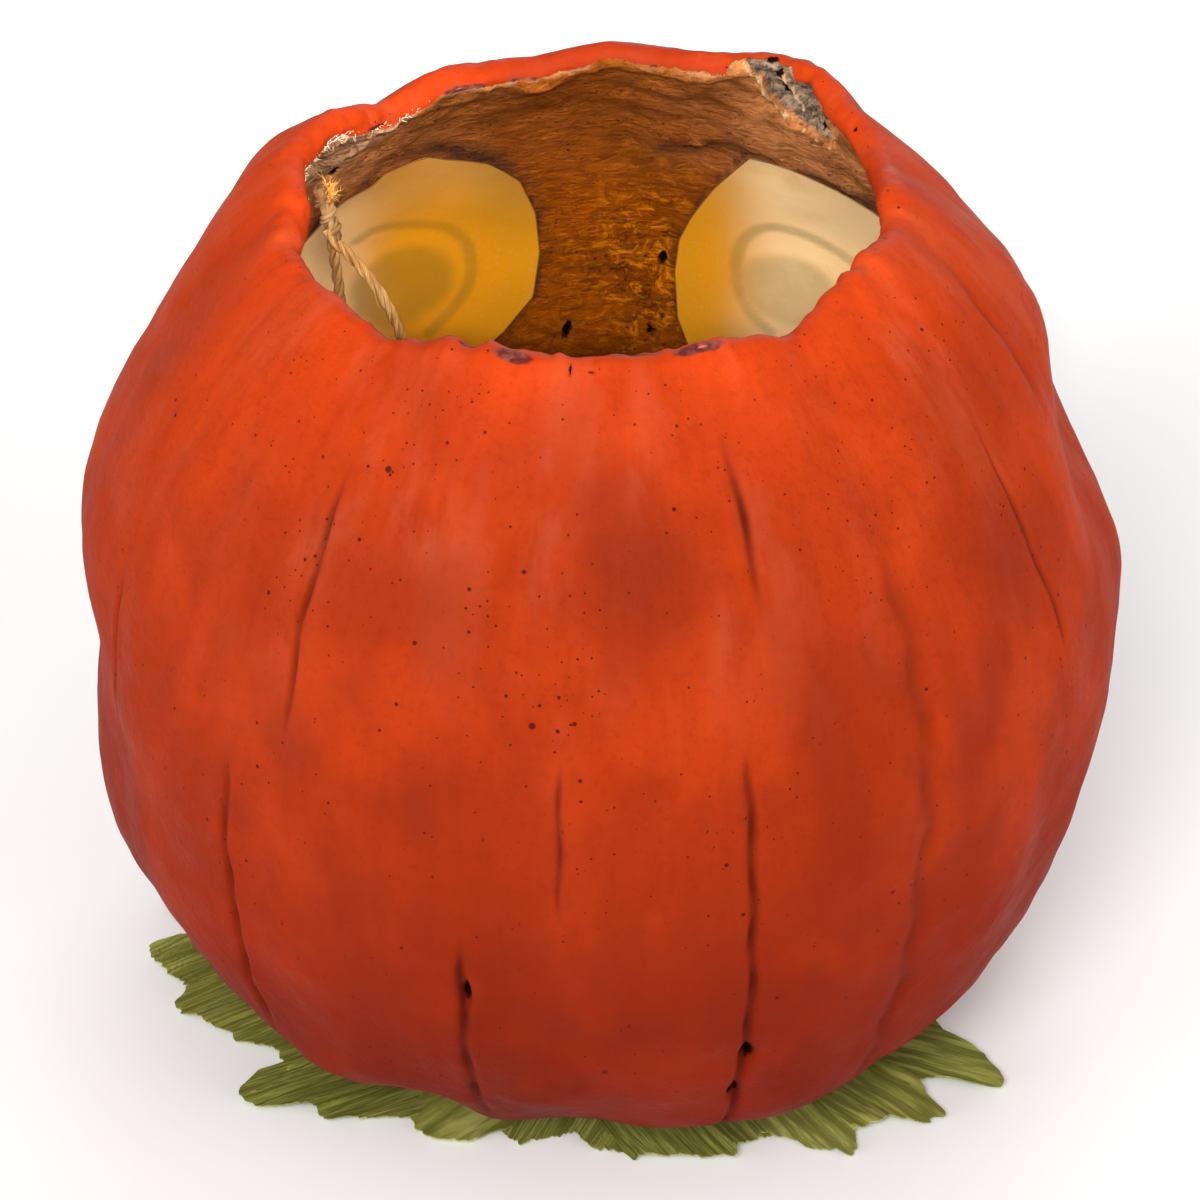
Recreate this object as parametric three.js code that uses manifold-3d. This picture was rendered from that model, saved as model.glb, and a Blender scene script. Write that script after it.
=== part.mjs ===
// A carved pumpkin lantern made of painted paper pulp: a hollow ribbed shell, open at the top,
// with a cut face backed by translucent papers, a collar of crepe paper leaves and a twine loop.
// Millimetres, +Z up. The origin is the middle of the foot and the cut face looks along +Y.
// An azimuth of 0 degrees points along -Y (the back of the lantern) and 90 along +X.

import * as THREE from 'three';
import { mergeVertices } from 'three/addons/utils/BufferGeometryUtils.js';
import Module from 'manifold-3d';

const wasm = await Module();
wasm.setup();

// ---------------------------------------------------------------- driving dimensions

const WAIST_RADIUS = 130;
const WAIST_HEIGHT = 103;
const CROWN_RISE = 142; // from the waist to where the upper curve would close
const BASE_DROP = 108; // from the waist to where the lower curve would close, under the floor
const BASE_FULLNESS = 2.9; // superellipse exponent below the waist; 2 would be an ellipse
const WALL = 9;
const LIP_THICKNESS = 8;
const FLOOR_HEIGHT = 8;

// Valleys between the ribs, by azimuth, and how far the ribs stand out between them.
const VALLEYS = [-178, -155, -131, -108, -87, -66, -41, -14, 16, 37, 58, 80, 103, 127, 152];
const RIB_RISE = { waist: 0.8, foot: 1.7, crown: 1.5 };
const RIB_FOOT_REACH = 45;
const RIB_CROWN = { height: 205, reach: 35 };

// Lumps and hollows of the hand-formed shell: where each is centred, its half-widths and its rise.
const LUMPS = [
  { azimuth: -108, height: 214, across: 14, up: 16, rise: 6 },
  { azimuth: -91, height: 137, across: 16, up: 18, rise: 2.5 },
  { azimuth: -82, height: 101, across: 14, up: 22, rise: -5 },
  { azimuth: -56, height: 43, across: 12, up: 12, rise: -2 },
  { azimuth: -37, height: 28, across: 9, up: 12, rise: 3.5 },
  { azimuth: -23, height: 20, across: 7, up: 12, rise: -4.5 },
  { azimuth: -16, height: 16, across: 7, up: 12, rise: 4 },
  { azimuth: -1, height: 25, across: 8, up: 12, rise: -4.5 },
  { azimuth: 21, height: 24, across: 18, up: 13, rise: 3.5 },
  { azimuth: 68, height: 55, across: 18, up: 26, rise: -3.5 },
  { azimuth: 92, height: 153, across: 16, up: 20, rise: -9.5 },
  { azimuth: 139, height: 223, across: 15, up: 18, rise: 6.8 },
  { azimuth: 150, height: 222, across: 6, up: 14, rise: 1.7 },
  { azimuth: 177, height: 222, across: 8.5, up: 14, rise: 1.7 },
  { azimuth: -166, height: 222, across: 7, up: 14, rise: -2.2 },
  { azimuth: 111.5, height: 205, across: 16, up: 20, rise: -0.8 },
  { azimuth: -134, height: 205, across: 15, up: 18, rise: -1.4 },
  { azimuth: 180, height: 96, across: 20, up: 26, rise: 2.5 },
  { azimuth: -134, height: 74, across: 20, up: 26, rise: 2 },
  { azimuth: 136, height: 70, across: 20, up: 26, rise: 2.5 },
];

// The hand-cut opening at the top: azimuth and radius of the lip's inner edge.
const OPENING = [
  [-165, 65], [-140, 65], [-122, 68.5], [-103, 73], [-89, 68.5], [-77, 73], [-62, 71.5],
  [-42, 72.5], [-20, 69], [0, 69], [18, 67.5], [35, 70], [58, 65.5], [75, 67.5], [88, 66],
  [104, 67], [124, 70], [144, 76], [159, 66.5], [178, 65],
];

// The cut face, as outlines of [x, height] seen from inside, mirrored for the other side.
const EYE_CUT = [
  [-27, 122], [-25, 138], [-31, 154], [-43, 163], [-57, 161], [-68, 150], [-71, 134],
  [-66, 119], [-53, 110], [-38, 111],
];
const NOSE_CUT = [[-12, 69], [12, 69], [1, 88], [-1, 88]];
const MOUTH_CUT = [
  [-56, 63], [-47, 48], [-35, 38], [-22, 33], [-20, 41], [-8, 39], [-7, 30.5], [10, 30.5],
  [22, 33], [35, 38], [47, 48], [56, 63], [44, 57], [31, 51], [29, 58], [15, 55], [16, 48.5],
  [-16, 48.5], [-31, 51], [-44, 57],
];

// The papers behind the face, cut with scissors.
const LEFT_EYE_PAPER = [
  [-84, 140], [-81, 158], [-66, 175], [-59, 178], [-55, 183], [-45, 185], [-39, 180], [-29, 174],
  [-21, 164], [-17, 150], [-16, 135], [-18, 119], [-26, 108], [-37, 98], [-54, 94], [-70, 100],
  [-80, 116],
];
const RIGHT_EYE_PAPER = [
  [84, 132], [84, 156], [79, 170], [71, 173], [62, 176], [48, 179], [39, 180], [30, 163],
  [24, 149], [21, 140], [20, 128], [21, 112], [25, 100], [42, 92], [62, 94], [77, 108],
];
const NOSE_PAPER = [[-18, 66.5], [18, 66.5], [17, 80], [8, 91.5], [-8, 91.5], [-17, 80]];
const MOUTH_PAPER = [
  [-64, 58], [-61, 66], [61, 66], [64, 58], [54, 42], [34, 30], [10, 25], [-10, 25], [-34, 30],
  [-54, 42],
];
const PAPER_THICKNESS = 0.8;
const PAPER_GAP = 0.7;

// Crepe paper leaves round the foot: for each, the azimuth and radius of its torn outer edge. The
// last of these is tucked in under the belly.
const BACK_LEAVES = [
  [[-84, 112], [-82.4, 120], [-77.6, 117], [-74, 112], [-70, 117.5], [-60, 107], [-55.5, 101], [-51.5, 102]],
  [[-50.5, 113], [-48.6, 118.5], [-44, 110.5], [-40.5, 108], [-36.5, 103], [-31.5, 96]],
  [[-30.5, 93], [-27.8, 98], [-23.6, 100], [-19, 97], [-16.5, 90]],
  [[-15.5, 91], [-12, 94], [-7, 89.5], [-4, 87], [0, 95], [1, 93]],
  [[2, 94.5], [5.5, 98], [11, 99], [18.7, 103.5], [21.5, 99], [24.5, 98]],
  [[25.5, 98], [28.8, 104], [31.5, 110], [33.2, 115], [37, 107.5]],
  [[38, 109.5], [41, 110], [44.5, 118], [46.5, 120], [48.5, 107]],
  [[49.5, 106.5], [51.7, 110], [54.8, 124.5], [57, 119.5], [60, 106], [63, 99]],
  [[64, 97], [70, 98.5], [76, 101], [84, 103], [90, 106], [93, 104]],
];
const FRONT_LEAVES = { first: 94, last: 275, count: 6, gap: 1, radius: 104 };
const LEAF_LOBES = [-5, 5, 9, 1, 13, 4, -4]; // how the edge of a front leaf goes out and in
const LEAF_THICKNESS = 0.8;
const LEAF_WAVE = 2.2;
const LEAF_LIFT = 0.2;
const LEAF_ROOT = { radius: 73, headroom: 1.7 };

// The twine loop: knotted inside the lip and lying on the floor of the shell.
const TWINE_DIAMETER = 2.4;
const KNOT = { centre: [-64.7, 0.2, 216], size: [3.2, 3.8, 3.6] };
const TWINE_ROUTE = [
  [-65.0, -1.6, 212.05], [-64.0, -1.9, 209.6], [-60.8, -2.6, 206.4], [-56.6, -3.8, 201.6],
  [-52.3, -5.4, 195.5], [-48.0, -7.4, 186], [-44.6, -9.4, 171], [-41.8, -11.2, 149],
  [-39.0, -12.8, 120], [-36.2, -14.0, 88], [-33.4, -14.6, 58], [-30.4, -14.2, 34],
  [-26.0, -12.0, 18], [-19.0, -7.0, 11], [-11.5, 0.0, 9.6], [-8.5, 9.0, 9.5], [-13.5, 17.5, 9.5],
  [-24.0, 21.5, 9.6], [-36.0, 20.5, 9.9], [-46.0, 15.8, 13], [-53.0, 11.0, 21],
  [-57.0, 8.0, 36], [-59.4, 6.2, 62], [-60.8, 4.8, 96], [-61.6, 3.6, 132], [-62.2, 2.8, 164],
  [-62.8, 2.4, 188], [-64.2, 2.1, 206], [-64.9, 2.0, 212.05],
];

// How finely each piece is divided.
const SHELL_COLUMNS = 72;
const OUTER_ROWS = 26;
const INNER_ROWS = 17;
const LIP_STEPS = 5;
const TWINE_STEPS = 78;

// ---------------------------------------------------------------- small helpers

const radians = THREE.MathUtils.degToRad;
const clamp = THREE.MathUtils.clamp;
const lerp = THREE.MathUtils.lerp;

/** The bell curve that every lump is made of. */
function bell(distance, halfWidth) {
  return Math.exp(-((distance / halfWidth) ** 2));
}

/** The shorter way round from one azimuth to another. */
function turnBetween(a, b) {
  return ((((a - b + 180) % 360) + 360) % 360) - 180;
}

function place(azimuth, radius, height) {
  const angle = radians(azimuth);
  return [radius * Math.sin(angle), -radius * Math.cos(angle), height];
}

/** The value at x on a line through [x, value] points in rising order of x. */
function along(points, x) {
  let i = 1;
  while (i < points.length - 1 && points[i][0] < x) i += 1;
  const [x0, v0] = points[i - 1];
  const [x1, v1] = points[i];
  return lerp(v0, v1, clamp((x - x0) / (x1 - x0), 0, 1));
}

function geometryOf(positions, triangles) {
  const geometry = new THREE.BufferGeometry();
  geometry.setAttribute('position', new THREE.Float32BufferAttribute(positions.flat(), 3));
  geometry.setIndex(triangles.flat());
  return geometry;
}

function toSolid(geometry) {
  const bare = geometry.clone();
  bare.deleteAttribute('normal');
  bare.deleteAttribute('uv');
  const merged = mergeVertices(bare);
  return new wasm.Manifold(new wasm.Mesh({
    numProp: 3,
    vertProperties: new Float32Array(merged.attributes.position.array),
    triVerts: new Uint32Array(merged.index.array),
  }));
}

function fromSolid(solid) {
  const mesh = solid.getMesh();
  const geometry = new THREE.BufferGeometry();
  geometry.setAttribute('position', new THREE.BufferAttribute(mesh.vertProperties, 3));
  geometry.setIndex(new THREE.BufferAttribute(mesh.triVerts, 1));
  return geometry;
}

function named(name, geometry, material) {
  const mesh = new THREE.Mesh(geometry, material);
  mesh.name = name;
  return mesh;
}

// ---------------------------------------------------------------- form of the shell

/** The plain profile at q, from -1 at the bottom of the axis, by 0 at the waist, to 1 at its top. */
function profile(q) {
  const angle = Math.abs(q) * Math.PI / 2;
  const across = Math.cos(angle);
  const up = Math.sin(angle);
  if (q >= 0) {
    const radius = WAIST_RADIUS * across;
    const rise = CROWN_RISE * up;
    const normal = new THREE.Vector2(radius / WAIST_RADIUS ** 2, rise / CROWN_RISE ** 2).normalize();
    return { radius, height: WAIST_HEIGHT + rise, normal };
  }
  const scale = (across ** BASE_FULLNESS + up ** BASE_FULLNESS) ** (-1 / BASE_FULLNESS);
  const power = BASE_FULLNESS - 1;
  const normal = new THREE.Vector2(
    (across * scale) ** power / WAIST_RADIUS,
    -((up * scale) ** power) / BASE_DROP,
  ).normalize();
  return {
    radius: WAIST_RADIUS * across * scale,
    height: WAIST_HEIGHT - BASE_DROP * up * scale,
    normal,
  };
}

/** How far the ribs stand out of the plain profile. */
function ribRise(azimuth, height) {
  const valleys = [...VALLEYS, VALLEYS[0] + 360];
  const from = VALLEYS[0];
  const turned = ((((azimuth - from) % 360) + 360) % 360) + from;
  let i = 1;
  while (turned > valleys[i]) i += 1;
  const share = (turned - valleys[i - 1]) / (valleys[i] - valleys[i - 1]);
  const lobe = Math.sin(Math.PI * clamp(share, 0, 1)) ** 0.8 - 0.62;
  const rise = RIB_RISE.waist
    + RIB_RISE.foot * bell(height, RIB_FOOT_REACH)
    + RIB_RISE.crown * bell(height - RIB_CROWN.height, RIB_CROWN.reach);
  return rise * lobe;
}

function lumpRise(azimuth, height) {
  let rise = 0;
  for (const lump of LUMPS) {
    rise += lump.rise
      * bell(turnBetween(azimuth, lump.azimuth), lump.across)
      * bell(height - lump.height, lump.up);
  }
  return rise;
}

function outside(azimuth, q) {
  const { radius, height, normal } = profile(q);
  const rise = lumpRise(azimuth, height) + ribRise(azimuth, height);
  return {
    radius: radius + rise * normal.x,
    height: Math.max(0, height + rise * normal.y),
    normal,
  };
}

/** The inner wall follows the lumps, but not the ribs. */
function inside(azimuth, q, wall = WALL) {
  const { radius, height, normal } = profile(q);
  const rise = lumpRise(azimuth, height) - wall;
  return {
    radius: Math.max(0, radius + rise * normal.x),
    height: Math.max(FLOOR_HEIGHT, height + rise * normal.y),
  };
}

function openingRadius(azimuth) {
  const first = OPENING[0];
  const turned = ((((azimuth - first[0]) % 360) + 360) % 360) + first[0];
  return along([...OPENING, [first[0] + 360, first[1]]], turned);
}

/** The q where the outer wall turns over into the lip, so that the lip ends at the opening. */
function rimOf(azimuth) {
  const target = openingRadius(azimuth);
  let low = 0;
  let high = 0.9;
  for (let step = 0; step < 30; step += 1) {
    const q = (low + high) / 2;
    const { radius, normal } = outside(azimuth, q);
    const lipEdge = radius - LIP_THICKNESS / 2 * (normal.x + 1);
    if (lipEdge > target) low = q;
    else high = q;
  }
  return low;
}

/** The q where the plain profile reaches the floor. */
function footOf() {
  let low = -1;
  let high = 0;
  for (let step = 0; step < 30; step += 1) {
    const q = (low + high) / 2;
    if (profile(q).height < 0) low = q;
    else high = q;
  }
  return low;
}

const FOOT_Q = footOf();

/** One upright section of the shell, from the middle of the foot over the lip to the floor. */
function section(azimuth) {
  const rim = rimOf(azimuth);
  const points = [];
  points.push([0.5 * outside(azimuth, FOOT_Q).radius, 0]);
  for (let row = 0; row <= OUTER_ROWS; row += 1) {
    const { radius, height } = outside(azimuth, lerp(FOOT_Q, rim, row / OUTER_ROWS));
    points.push([radius, height]);
  }
  const top = outside(azimuth, rim);
  const half = LIP_THICKNESS / 2;
  const middle = [top.radius - half * top.normal.x, top.height - half * top.normal.y];
  for (let step = 1; step < LIP_STEPS; step += 1) {
    const angle = Math.PI * step / LIP_STEPS;
    const out = half * Math.cos(angle);
    const over = half * Math.sin(angle);
    points.push([
      middle[0] + out * top.normal.x - over * top.normal.y,
      middle[1] + out * top.normal.y + over * top.normal.x,
    ]);
  }
  const under = { radius: middle[0] - half * top.normal.x, height: middle[1] - half * top.normal.y };
  points.push([under.radius, under.height]);
  for (let row = 1; row <= INNER_ROWS; row += 1) {
    const q = lerp(rim, FOOT_Q, row / INNER_ROWS);
    const { radius, height } = inside(azimuth, q, lerp(WALL, LIP_THICKNESS, bell(row, 1.5)));
    points.push([radius, height]);
  }
  points.push([0.5 * inside(azimuth, FOOT_Q).radius, FLOOR_HEIGHT]);
  return points;
}

// ---------------------------------------------------------------- the shell

function shellBody() {
  const positions = [[0, 0, 0], [0, 0, FLOOR_HEIGHT]];
  const triangles = [];
  let rows = 0;
  for (let column = 0; column < SHELL_COLUMNS; column += 1) {
    const azimuth = 360 * column / SHELL_COLUMNS;
    const points = section(azimuth);
    rows = points.length;
    for (const [radius, height] of points) positions.push(place(azimuth, radius, height));
  }
  const at = (column, row) => 2 + (column % SHELL_COLUMNS) * rows + row;
  for (let column = 0; column < SHELL_COLUMNS; column += 1) {
    triangles.push([0, at(column + 1, 0), at(column, 0)]);
    for (let row = 0; row < rows - 1; row += 1) {
      triangles.push([at(column, row), at(column + 1, row), at(column + 1, row + 1)]);
      triangles.push([at(column, row), at(column + 1, row + 1), at(column, row + 1)]);
    }
    triangles.push([1, at(column, rows - 1), at(column + 1, rows - 1)]);
  }
  return geometryOf(positions, triangles);
}

/** A straight plug of an [x, height] outline, through the front wall alone. */
function plug(outline) {
  const shape = new THREE.Shape(outline.map(([x, height]) => new THREE.Vector2(x, height)));
  const reach = { from: 40, to: 150 };
  const geometry = new THREE.ExtrudeGeometry(shape, {
    depth: reach.to - reach.from,
    bevelEnabled: false,
    steps: 1,
  });
  geometry.rotateX(Math.PI / 2);
  geometry.translate(0, reach.to, 0);
  return toSolid(geometry);
}

function mirrored(outline) {
  return outline.map(([x, height]) => [-x, height]).reverse();
}

function makeShell() {
  let solid = toSolid(shellBody());
  for (const outline of [EYE_CUT, mirrored(EYE_CUT), NOSE_CUT, MOUTH_CUT]) {
    solid = solid.subtract(plug(outline));
  }
  const paintedPulp = new THREE.MeshStandardMaterial({
    color: 0xcb4620,
    roughness: 0.62,
    metalness: 0,
  });
  return named('shell', fromSolid(solid), paintedPulp);
}

// ---------------------------------------------------------------- thin sheets

/** A closed sheet between two grids of points that are split into triangles alike. */
function sheet(upper, lower) {
  const rows = upper.length;
  const columns = upper[0].length;
  const positions = [...upper.flat(), ...lower.flat()];
  const top = (row, column) => row * columns + column;
  const bottom = (row, column) => rows * columns + top(row, column);
  const triangles = [];
  const quad = (a, b, c, d) => triangles.push([a, b, c], [a, c, d]);
  for (let row = 0; row < rows - 1; row += 1) {
    for (let column = 0; column < columns - 1; column += 1) {
      const corners = [[row, column], [row, column + 1], [row + 1, column + 1], [row + 1, column]];
      const [a, b, c, d] = corners.map(([i, j]) => top(i, j));
      quad(a, b, c, d);
      const [e, f, g, h] = corners.map(([i, j]) => bottom(i, j));
      triangles.push([e, g, f], [e, h, g]);
    }
  }
  const edge = [];
  for (let column = 0; column < columns - 1; column += 1) edge.push([0, column]);
  for (let row = 0; row < rows - 1; row += 1) edge.push([row, columns - 1]);
  for (let column = columns - 1; column > 0; column -= 1) edge.push([rows - 1, column]);
  for (let row = rows - 1; row > 0; row -= 1) edge.push([row, 0]);
  edge.forEach((corner, i) => {
    const next = edge[(i + 1) % edge.length];
    quad(top(...next), top(...corner), bottom(...corner), bottom(...next));
  });
  return geometryOf(positions, triangles);
}

/** The point at x and height that lies a given distance inside the front wall. */
function onInnerWall(x, height, distance) {
  let radius = WAIST_RADIUS;
  let azimuth = 180;
  for (let pass = 0; pass < 12; pass += 1) {
    azimuth = 180 - THREE.MathUtils.radToDeg(Math.asin(clamp(x / radius, -1, 1)));
    let low = FOOT_Q;
    let high = 0.75;
    for (let step = 0; step < 24; step += 1) {
      const q = (low + high) / 2;
      if (inside(azimuth, q, WALL + distance).height < height) low = q;
      else high = q;
    }
    radius = inside(azimuth, low, WALL + distance).radius;
  }
  return place(azimuth, radius, height);
}

/** The widest stretch of x that an [x, height] outline covers at one height. */
function spanAt(outline, height) {
  const crossings = [];
  outline.forEach(([x0, h0], i) => {
    const [x1, h1] = outline[(i + 1) % outline.length];
    if ((h0 - height) * (h1 - height) < 0) crossings.push(lerp(x0, x1, (height - h0) / (h1 - h0)));
  });
  return [Math.min(...crossings), Math.max(...crossings)];
}

function makePaper(name, outline, rows, columns, material) {
  const heights = outline.map((point) => point[1]);
  const bottom = Math.min(...heights);
  const top = Math.max(...heights);
  const faces = [PAPER_GAP, PAPER_GAP + PAPER_THICKNESS].map((distance) => {
    const grid = [];
    for (let row = 0; row <= rows; row += 1) {
      const height = lerp(bottom, top, clamp(row / rows, 0.01, 0.99));
      const [left, right] = spanAt(outline, height);
      const line = [];
      for (let column = 0; column <= columns; column += 1) {
        line.push(onInnerWall(lerp(left, right, column / columns), height, distance));
      }
      grid.push(line);
    }
    return grid;
  });
  return named(name, sheet(faces[1], faces[0]), material);
}

function makePapers() {
  const eyePaper = new THREE.MeshStandardMaterial({ color: 0xd8a05a, roughness: 0.7, metalness: 0 });
  const facePaper = new THREE.MeshStandardMaterial({ color: 0xd08a10, roughness: 0.7, metalness: 0 });
  return [
    makePaper('eye_paper_left', LEFT_EYE_PAPER, 9, 7, eyePaper),
    makePaper('eye_paper_right', RIGHT_EYE_PAPER, 9, 7, eyePaper),
    makePaper('nose_paper', NOSE_PAPER, 4, 5, facePaper),
    makePaper('mouth_paper', MOUTH_PAPER, 6, 16, facePaper),
  ];
}

// ---------------------------------------------------------------- the leaf collar

/** The radius where the shell's underside leaves room above the floor for a leaf. */
function leafRoot(azimuth) {
  let q = FOOT_Q;
  let point = outside(azimuth, q);
  while (point.radius < LEAF_ROOT.radius || point.height < LEAF_ROOT.headroom) {
    q += 0.002;
    point = outside(azimuth, q);
  }
  return point.radius;
}

/** How high the crinkled paper stands off the floor; it lies flat under the shell. */
function leafWave(azimuth, radius) {
  const free = clamp((radius - 78) / 30, 0, 1);
  const ripple = 0.5 + 0.5 * Math.sin(radians(azimuth * 17)) * Math.cos(radius / 9);
  return LEAF_LIFT + LEAF_WAVE * free * ripple;
}

function makeLeaf(name, edge, material) {
  const columns = 12;
  const rows = 3;
  const first = edge[0][0];
  const last = edge[edge.length - 1][0];
  const faces = [LEAF_THICKNESS, 0].map((above) => {
    const grid = [];
    for (let row = 0; row <= rows; row += 1) {
      const line = [];
      for (let column = 0; column <= columns; column += 1) {
        const azimuth = lerp(first, last, column / columns);
        const radius = lerp(leafRoot(azimuth), along(edge, azimuth), row / rows);
        line.push(place(azimuth, radius, leafWave(azimuth, radius) + above));
      }
      grid.push(line);
    }
    return grid;
  });
  return named(name, sheet(faces[1], faces[0]), material);
}

function makeLeaves() {
  const crepe = new THREE.MeshStandardMaterial({ color: 0x8f9056, roughness: 0.85, metalness: 0 });
  const edges = [...BACK_LEAVES];
  const width = (FRONT_LEAVES.last - FRONT_LEAVES.first) / FRONT_LEAVES.count;
  for (let i = 0; i < FRONT_LEAVES.count; i += 1) {
    const start = FRONT_LEAVES.first + i * width;
    const lobes = i % 2 ? LEAF_LOBES : [...LEAF_LOBES].reverse();
    edges.push(lobes.map((out, k) => {
      const share = k / (lobes.length - 1);
      return [start + share * (width - FRONT_LEAVES.gap), FRONT_LEAVES.radius + out];
    }));
  }
  return edges.map((edge, i) => makeLeaf(`leaf_${String(i + 1).padStart(2, '0')}`, edge, crepe));
}

// ---------------------------------------------------------------- the twine loop

function makeTwine() {
  const hemp = new THREE.MeshStandardMaterial({ color: 0xbe8c52, roughness: 0.85, metalness: 0 });
  const route = new THREE.CatmullRomCurve3(TWINE_ROUTE.map((point) => new THREE.Vector3(...point)));
  const sides = 8;
  const outline = [];
  for (let side = 0; side < sides; side += 1) {
    const angle = 2 * Math.PI * side / sides;
    outline.push(new THREE.Vector2(Math.cos(angle), Math.sin(angle)).multiplyScalar(TWINE_DIAMETER / 2));
  }
  const tube = new THREE.ExtrudeGeometry(new THREE.Shape(outline), {
    extrudePath: route,
    steps: TWINE_STEPS,
    bevelEnabled: false,
  });
  const knot = new THREE.IcosahedronGeometry(1, 2);
  knot.scale(...KNOT.size);
  knot.translate(...KNOT.centre);
  return [
    named('twine', fromSolid(toSolid(tube)), hemp),
    named('twine_knot', fromSolid(toSolid(knot)), hemp),
  ];
}

// ---------------------------------------------------------------- the whole lantern

const lantern = new THREE.Group();
lantern.add(makeShell());
lantern.add(...makePapers());
lantern.add(...makeLeaves());
lantern.add(...makeTwine());

export default lantern;
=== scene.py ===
"""The looks of a carved pumpkin lantern of painted paper pulp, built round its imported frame.

Metres, in the frame's own axes: +Z up and the cut face towards +Y. An azimuth of 0 degrees points
along -Y, the back of the lantern, and 90 along +X. Tables are in degrees and millimetres.
"""
import math

import bpy
import numpy as np
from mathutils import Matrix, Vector


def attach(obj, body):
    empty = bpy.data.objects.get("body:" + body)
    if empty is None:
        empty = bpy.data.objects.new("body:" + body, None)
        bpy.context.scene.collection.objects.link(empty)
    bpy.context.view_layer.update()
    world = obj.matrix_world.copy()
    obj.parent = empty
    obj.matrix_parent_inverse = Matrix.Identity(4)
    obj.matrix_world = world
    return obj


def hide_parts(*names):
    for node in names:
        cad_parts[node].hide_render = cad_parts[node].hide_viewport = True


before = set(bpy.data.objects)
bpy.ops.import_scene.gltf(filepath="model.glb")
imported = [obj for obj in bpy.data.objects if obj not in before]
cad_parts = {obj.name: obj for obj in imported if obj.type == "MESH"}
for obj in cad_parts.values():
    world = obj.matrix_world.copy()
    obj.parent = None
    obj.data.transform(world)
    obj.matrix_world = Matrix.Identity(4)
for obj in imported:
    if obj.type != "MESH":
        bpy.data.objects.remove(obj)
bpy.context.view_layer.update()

BODY = "root"
MM = 0.001

# --- the camera

PICTURE_SIDE = 1200
FOCAL_PIXELS = 4552
SENSOR = 36.0
CAMERA_DISTANCE = 1.150
CAMERA_ELEVATION = math.radians(35.5)
LOOKED_AT = Vector((0, 0, 0.103))
AIM_DROP = 0.0009  # the lantern sits a little above the middle of the picture


def add_facing(name, data, place_at, target):
    """Adds a camera or a lamp that faces a target."""
    made = bpy.data.objects.new(name, data)
    made.location = place_at
    made.rotation_euler = (Vector(target) - Vector(place_at)).to_track_quat("-Z", "Y").to_euler()
    bpy.context.scene.collection.objects.link(made)
    return made


def make_camera():
    data = bpy.data.cameras.new("camera")
    data.sensor_width = SENSOR
    data.lens = FOCAL_PIXELS / PICTURE_SIDE * SENSOR
    data.clip_start, data.clip_end = 0.05, 50
    back = Vector((0, -math.cos(CAMERA_ELEVATION), math.sin(CAMERA_ELEVATION)))
    aim = LOOKED_AT - Vector((0, 0, AIM_DROP))
    bpy.context.scene.camera = add_facing("camera", data, LOOKED_AT + back * CAMERA_DISTANCE, aim)


make_camera()

# --- driving dimensions of the form

WAIST_RADIUS = 0.130
WAIST_HEIGHT = 0.103
CROWN_RISE = 0.142
BASE_DROP = 0.108
BASE_FULLNESS = 2.9
WALL = 0.009
LIP_THICKNESS = 0.008
FLOOR_HEIGHT = 0.008
RIM_RADIUS = 0.074
RIM_LIMIT, OUTER_LIMIT, INNER_LIMIT = 0.9, 0.72, 0.75  # the highest places that searches look at

VALLEYS = (-178, -155, -131, -108, -87, -66, -41, -14, 16, 37, 58, 80, 103, 127, 152)
RIB_WAIST, RIB_FOOT, RIB_CROWN = 0.8 * MM, 1.7 * MM, 0.7 * MM
RIB_FOOT_REACH = 0.045
RIB_CROWN_HEIGHT, RIB_CROWN_REACH = 0.205, 0.035

# Lumps of the hand-formed shell: azimuth, height, half-widths across and up, rise.
LUMPS = (
    (-108, 214, 14, 16, 6), (-91, 137, 16, 18, 2.5), (-82, 101, 14, 22, -5), (-56, 43, 12, 12, -2),
    (-37, 28, 9, 12, 3.5), (-23, 20, 7, 12, -4.5), (-16, 16, 7, 12, 4), (-1, 25, 8, 12, -4.5),
    (21, 24, 18, 13, 3.5), (68, 55, 18, 26, -3.5), (92, 153, 16, 20, -9.5), (139, 223, 15, 18, 6.8),
    (150, 222, 6, 14, 1.7), (177, 222, 8.5, 14, 1.7), (-166, 222, 7, 14, -2.2),
    (111.5, 205, 16, 20, -0.8), (-134, 205, 15, 18, -1.4), (180, 96, 20, 26, 2.5),
    (-134, 74, 20, 26, 2), (136, 70, 20, 26, 2.5),
)

# The hand-cut opening: azimuth and radius of the lip's inner edge.
OPENING = (
    (-165, 65), (-140, 65), (-122, 68.5), (-103, 73), (-89, 68.5), (-77, 73), (-62, 71.5),
    (-42, 72.5), (-20, 69), (0, 69), (18, 67.5), (35, 70), (58, 65.5), (75, 67.5), (88, 66),
    (104, 67), (124, 70), (144, 76), (159, 66.5), (178, 65),
)


def in_metres(points):
    return tuple(tuple(number * MM for number in point) for point in points)


def mirrored(outline):
    return tuple((-x, height) for x, height in reversed(outline))


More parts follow.
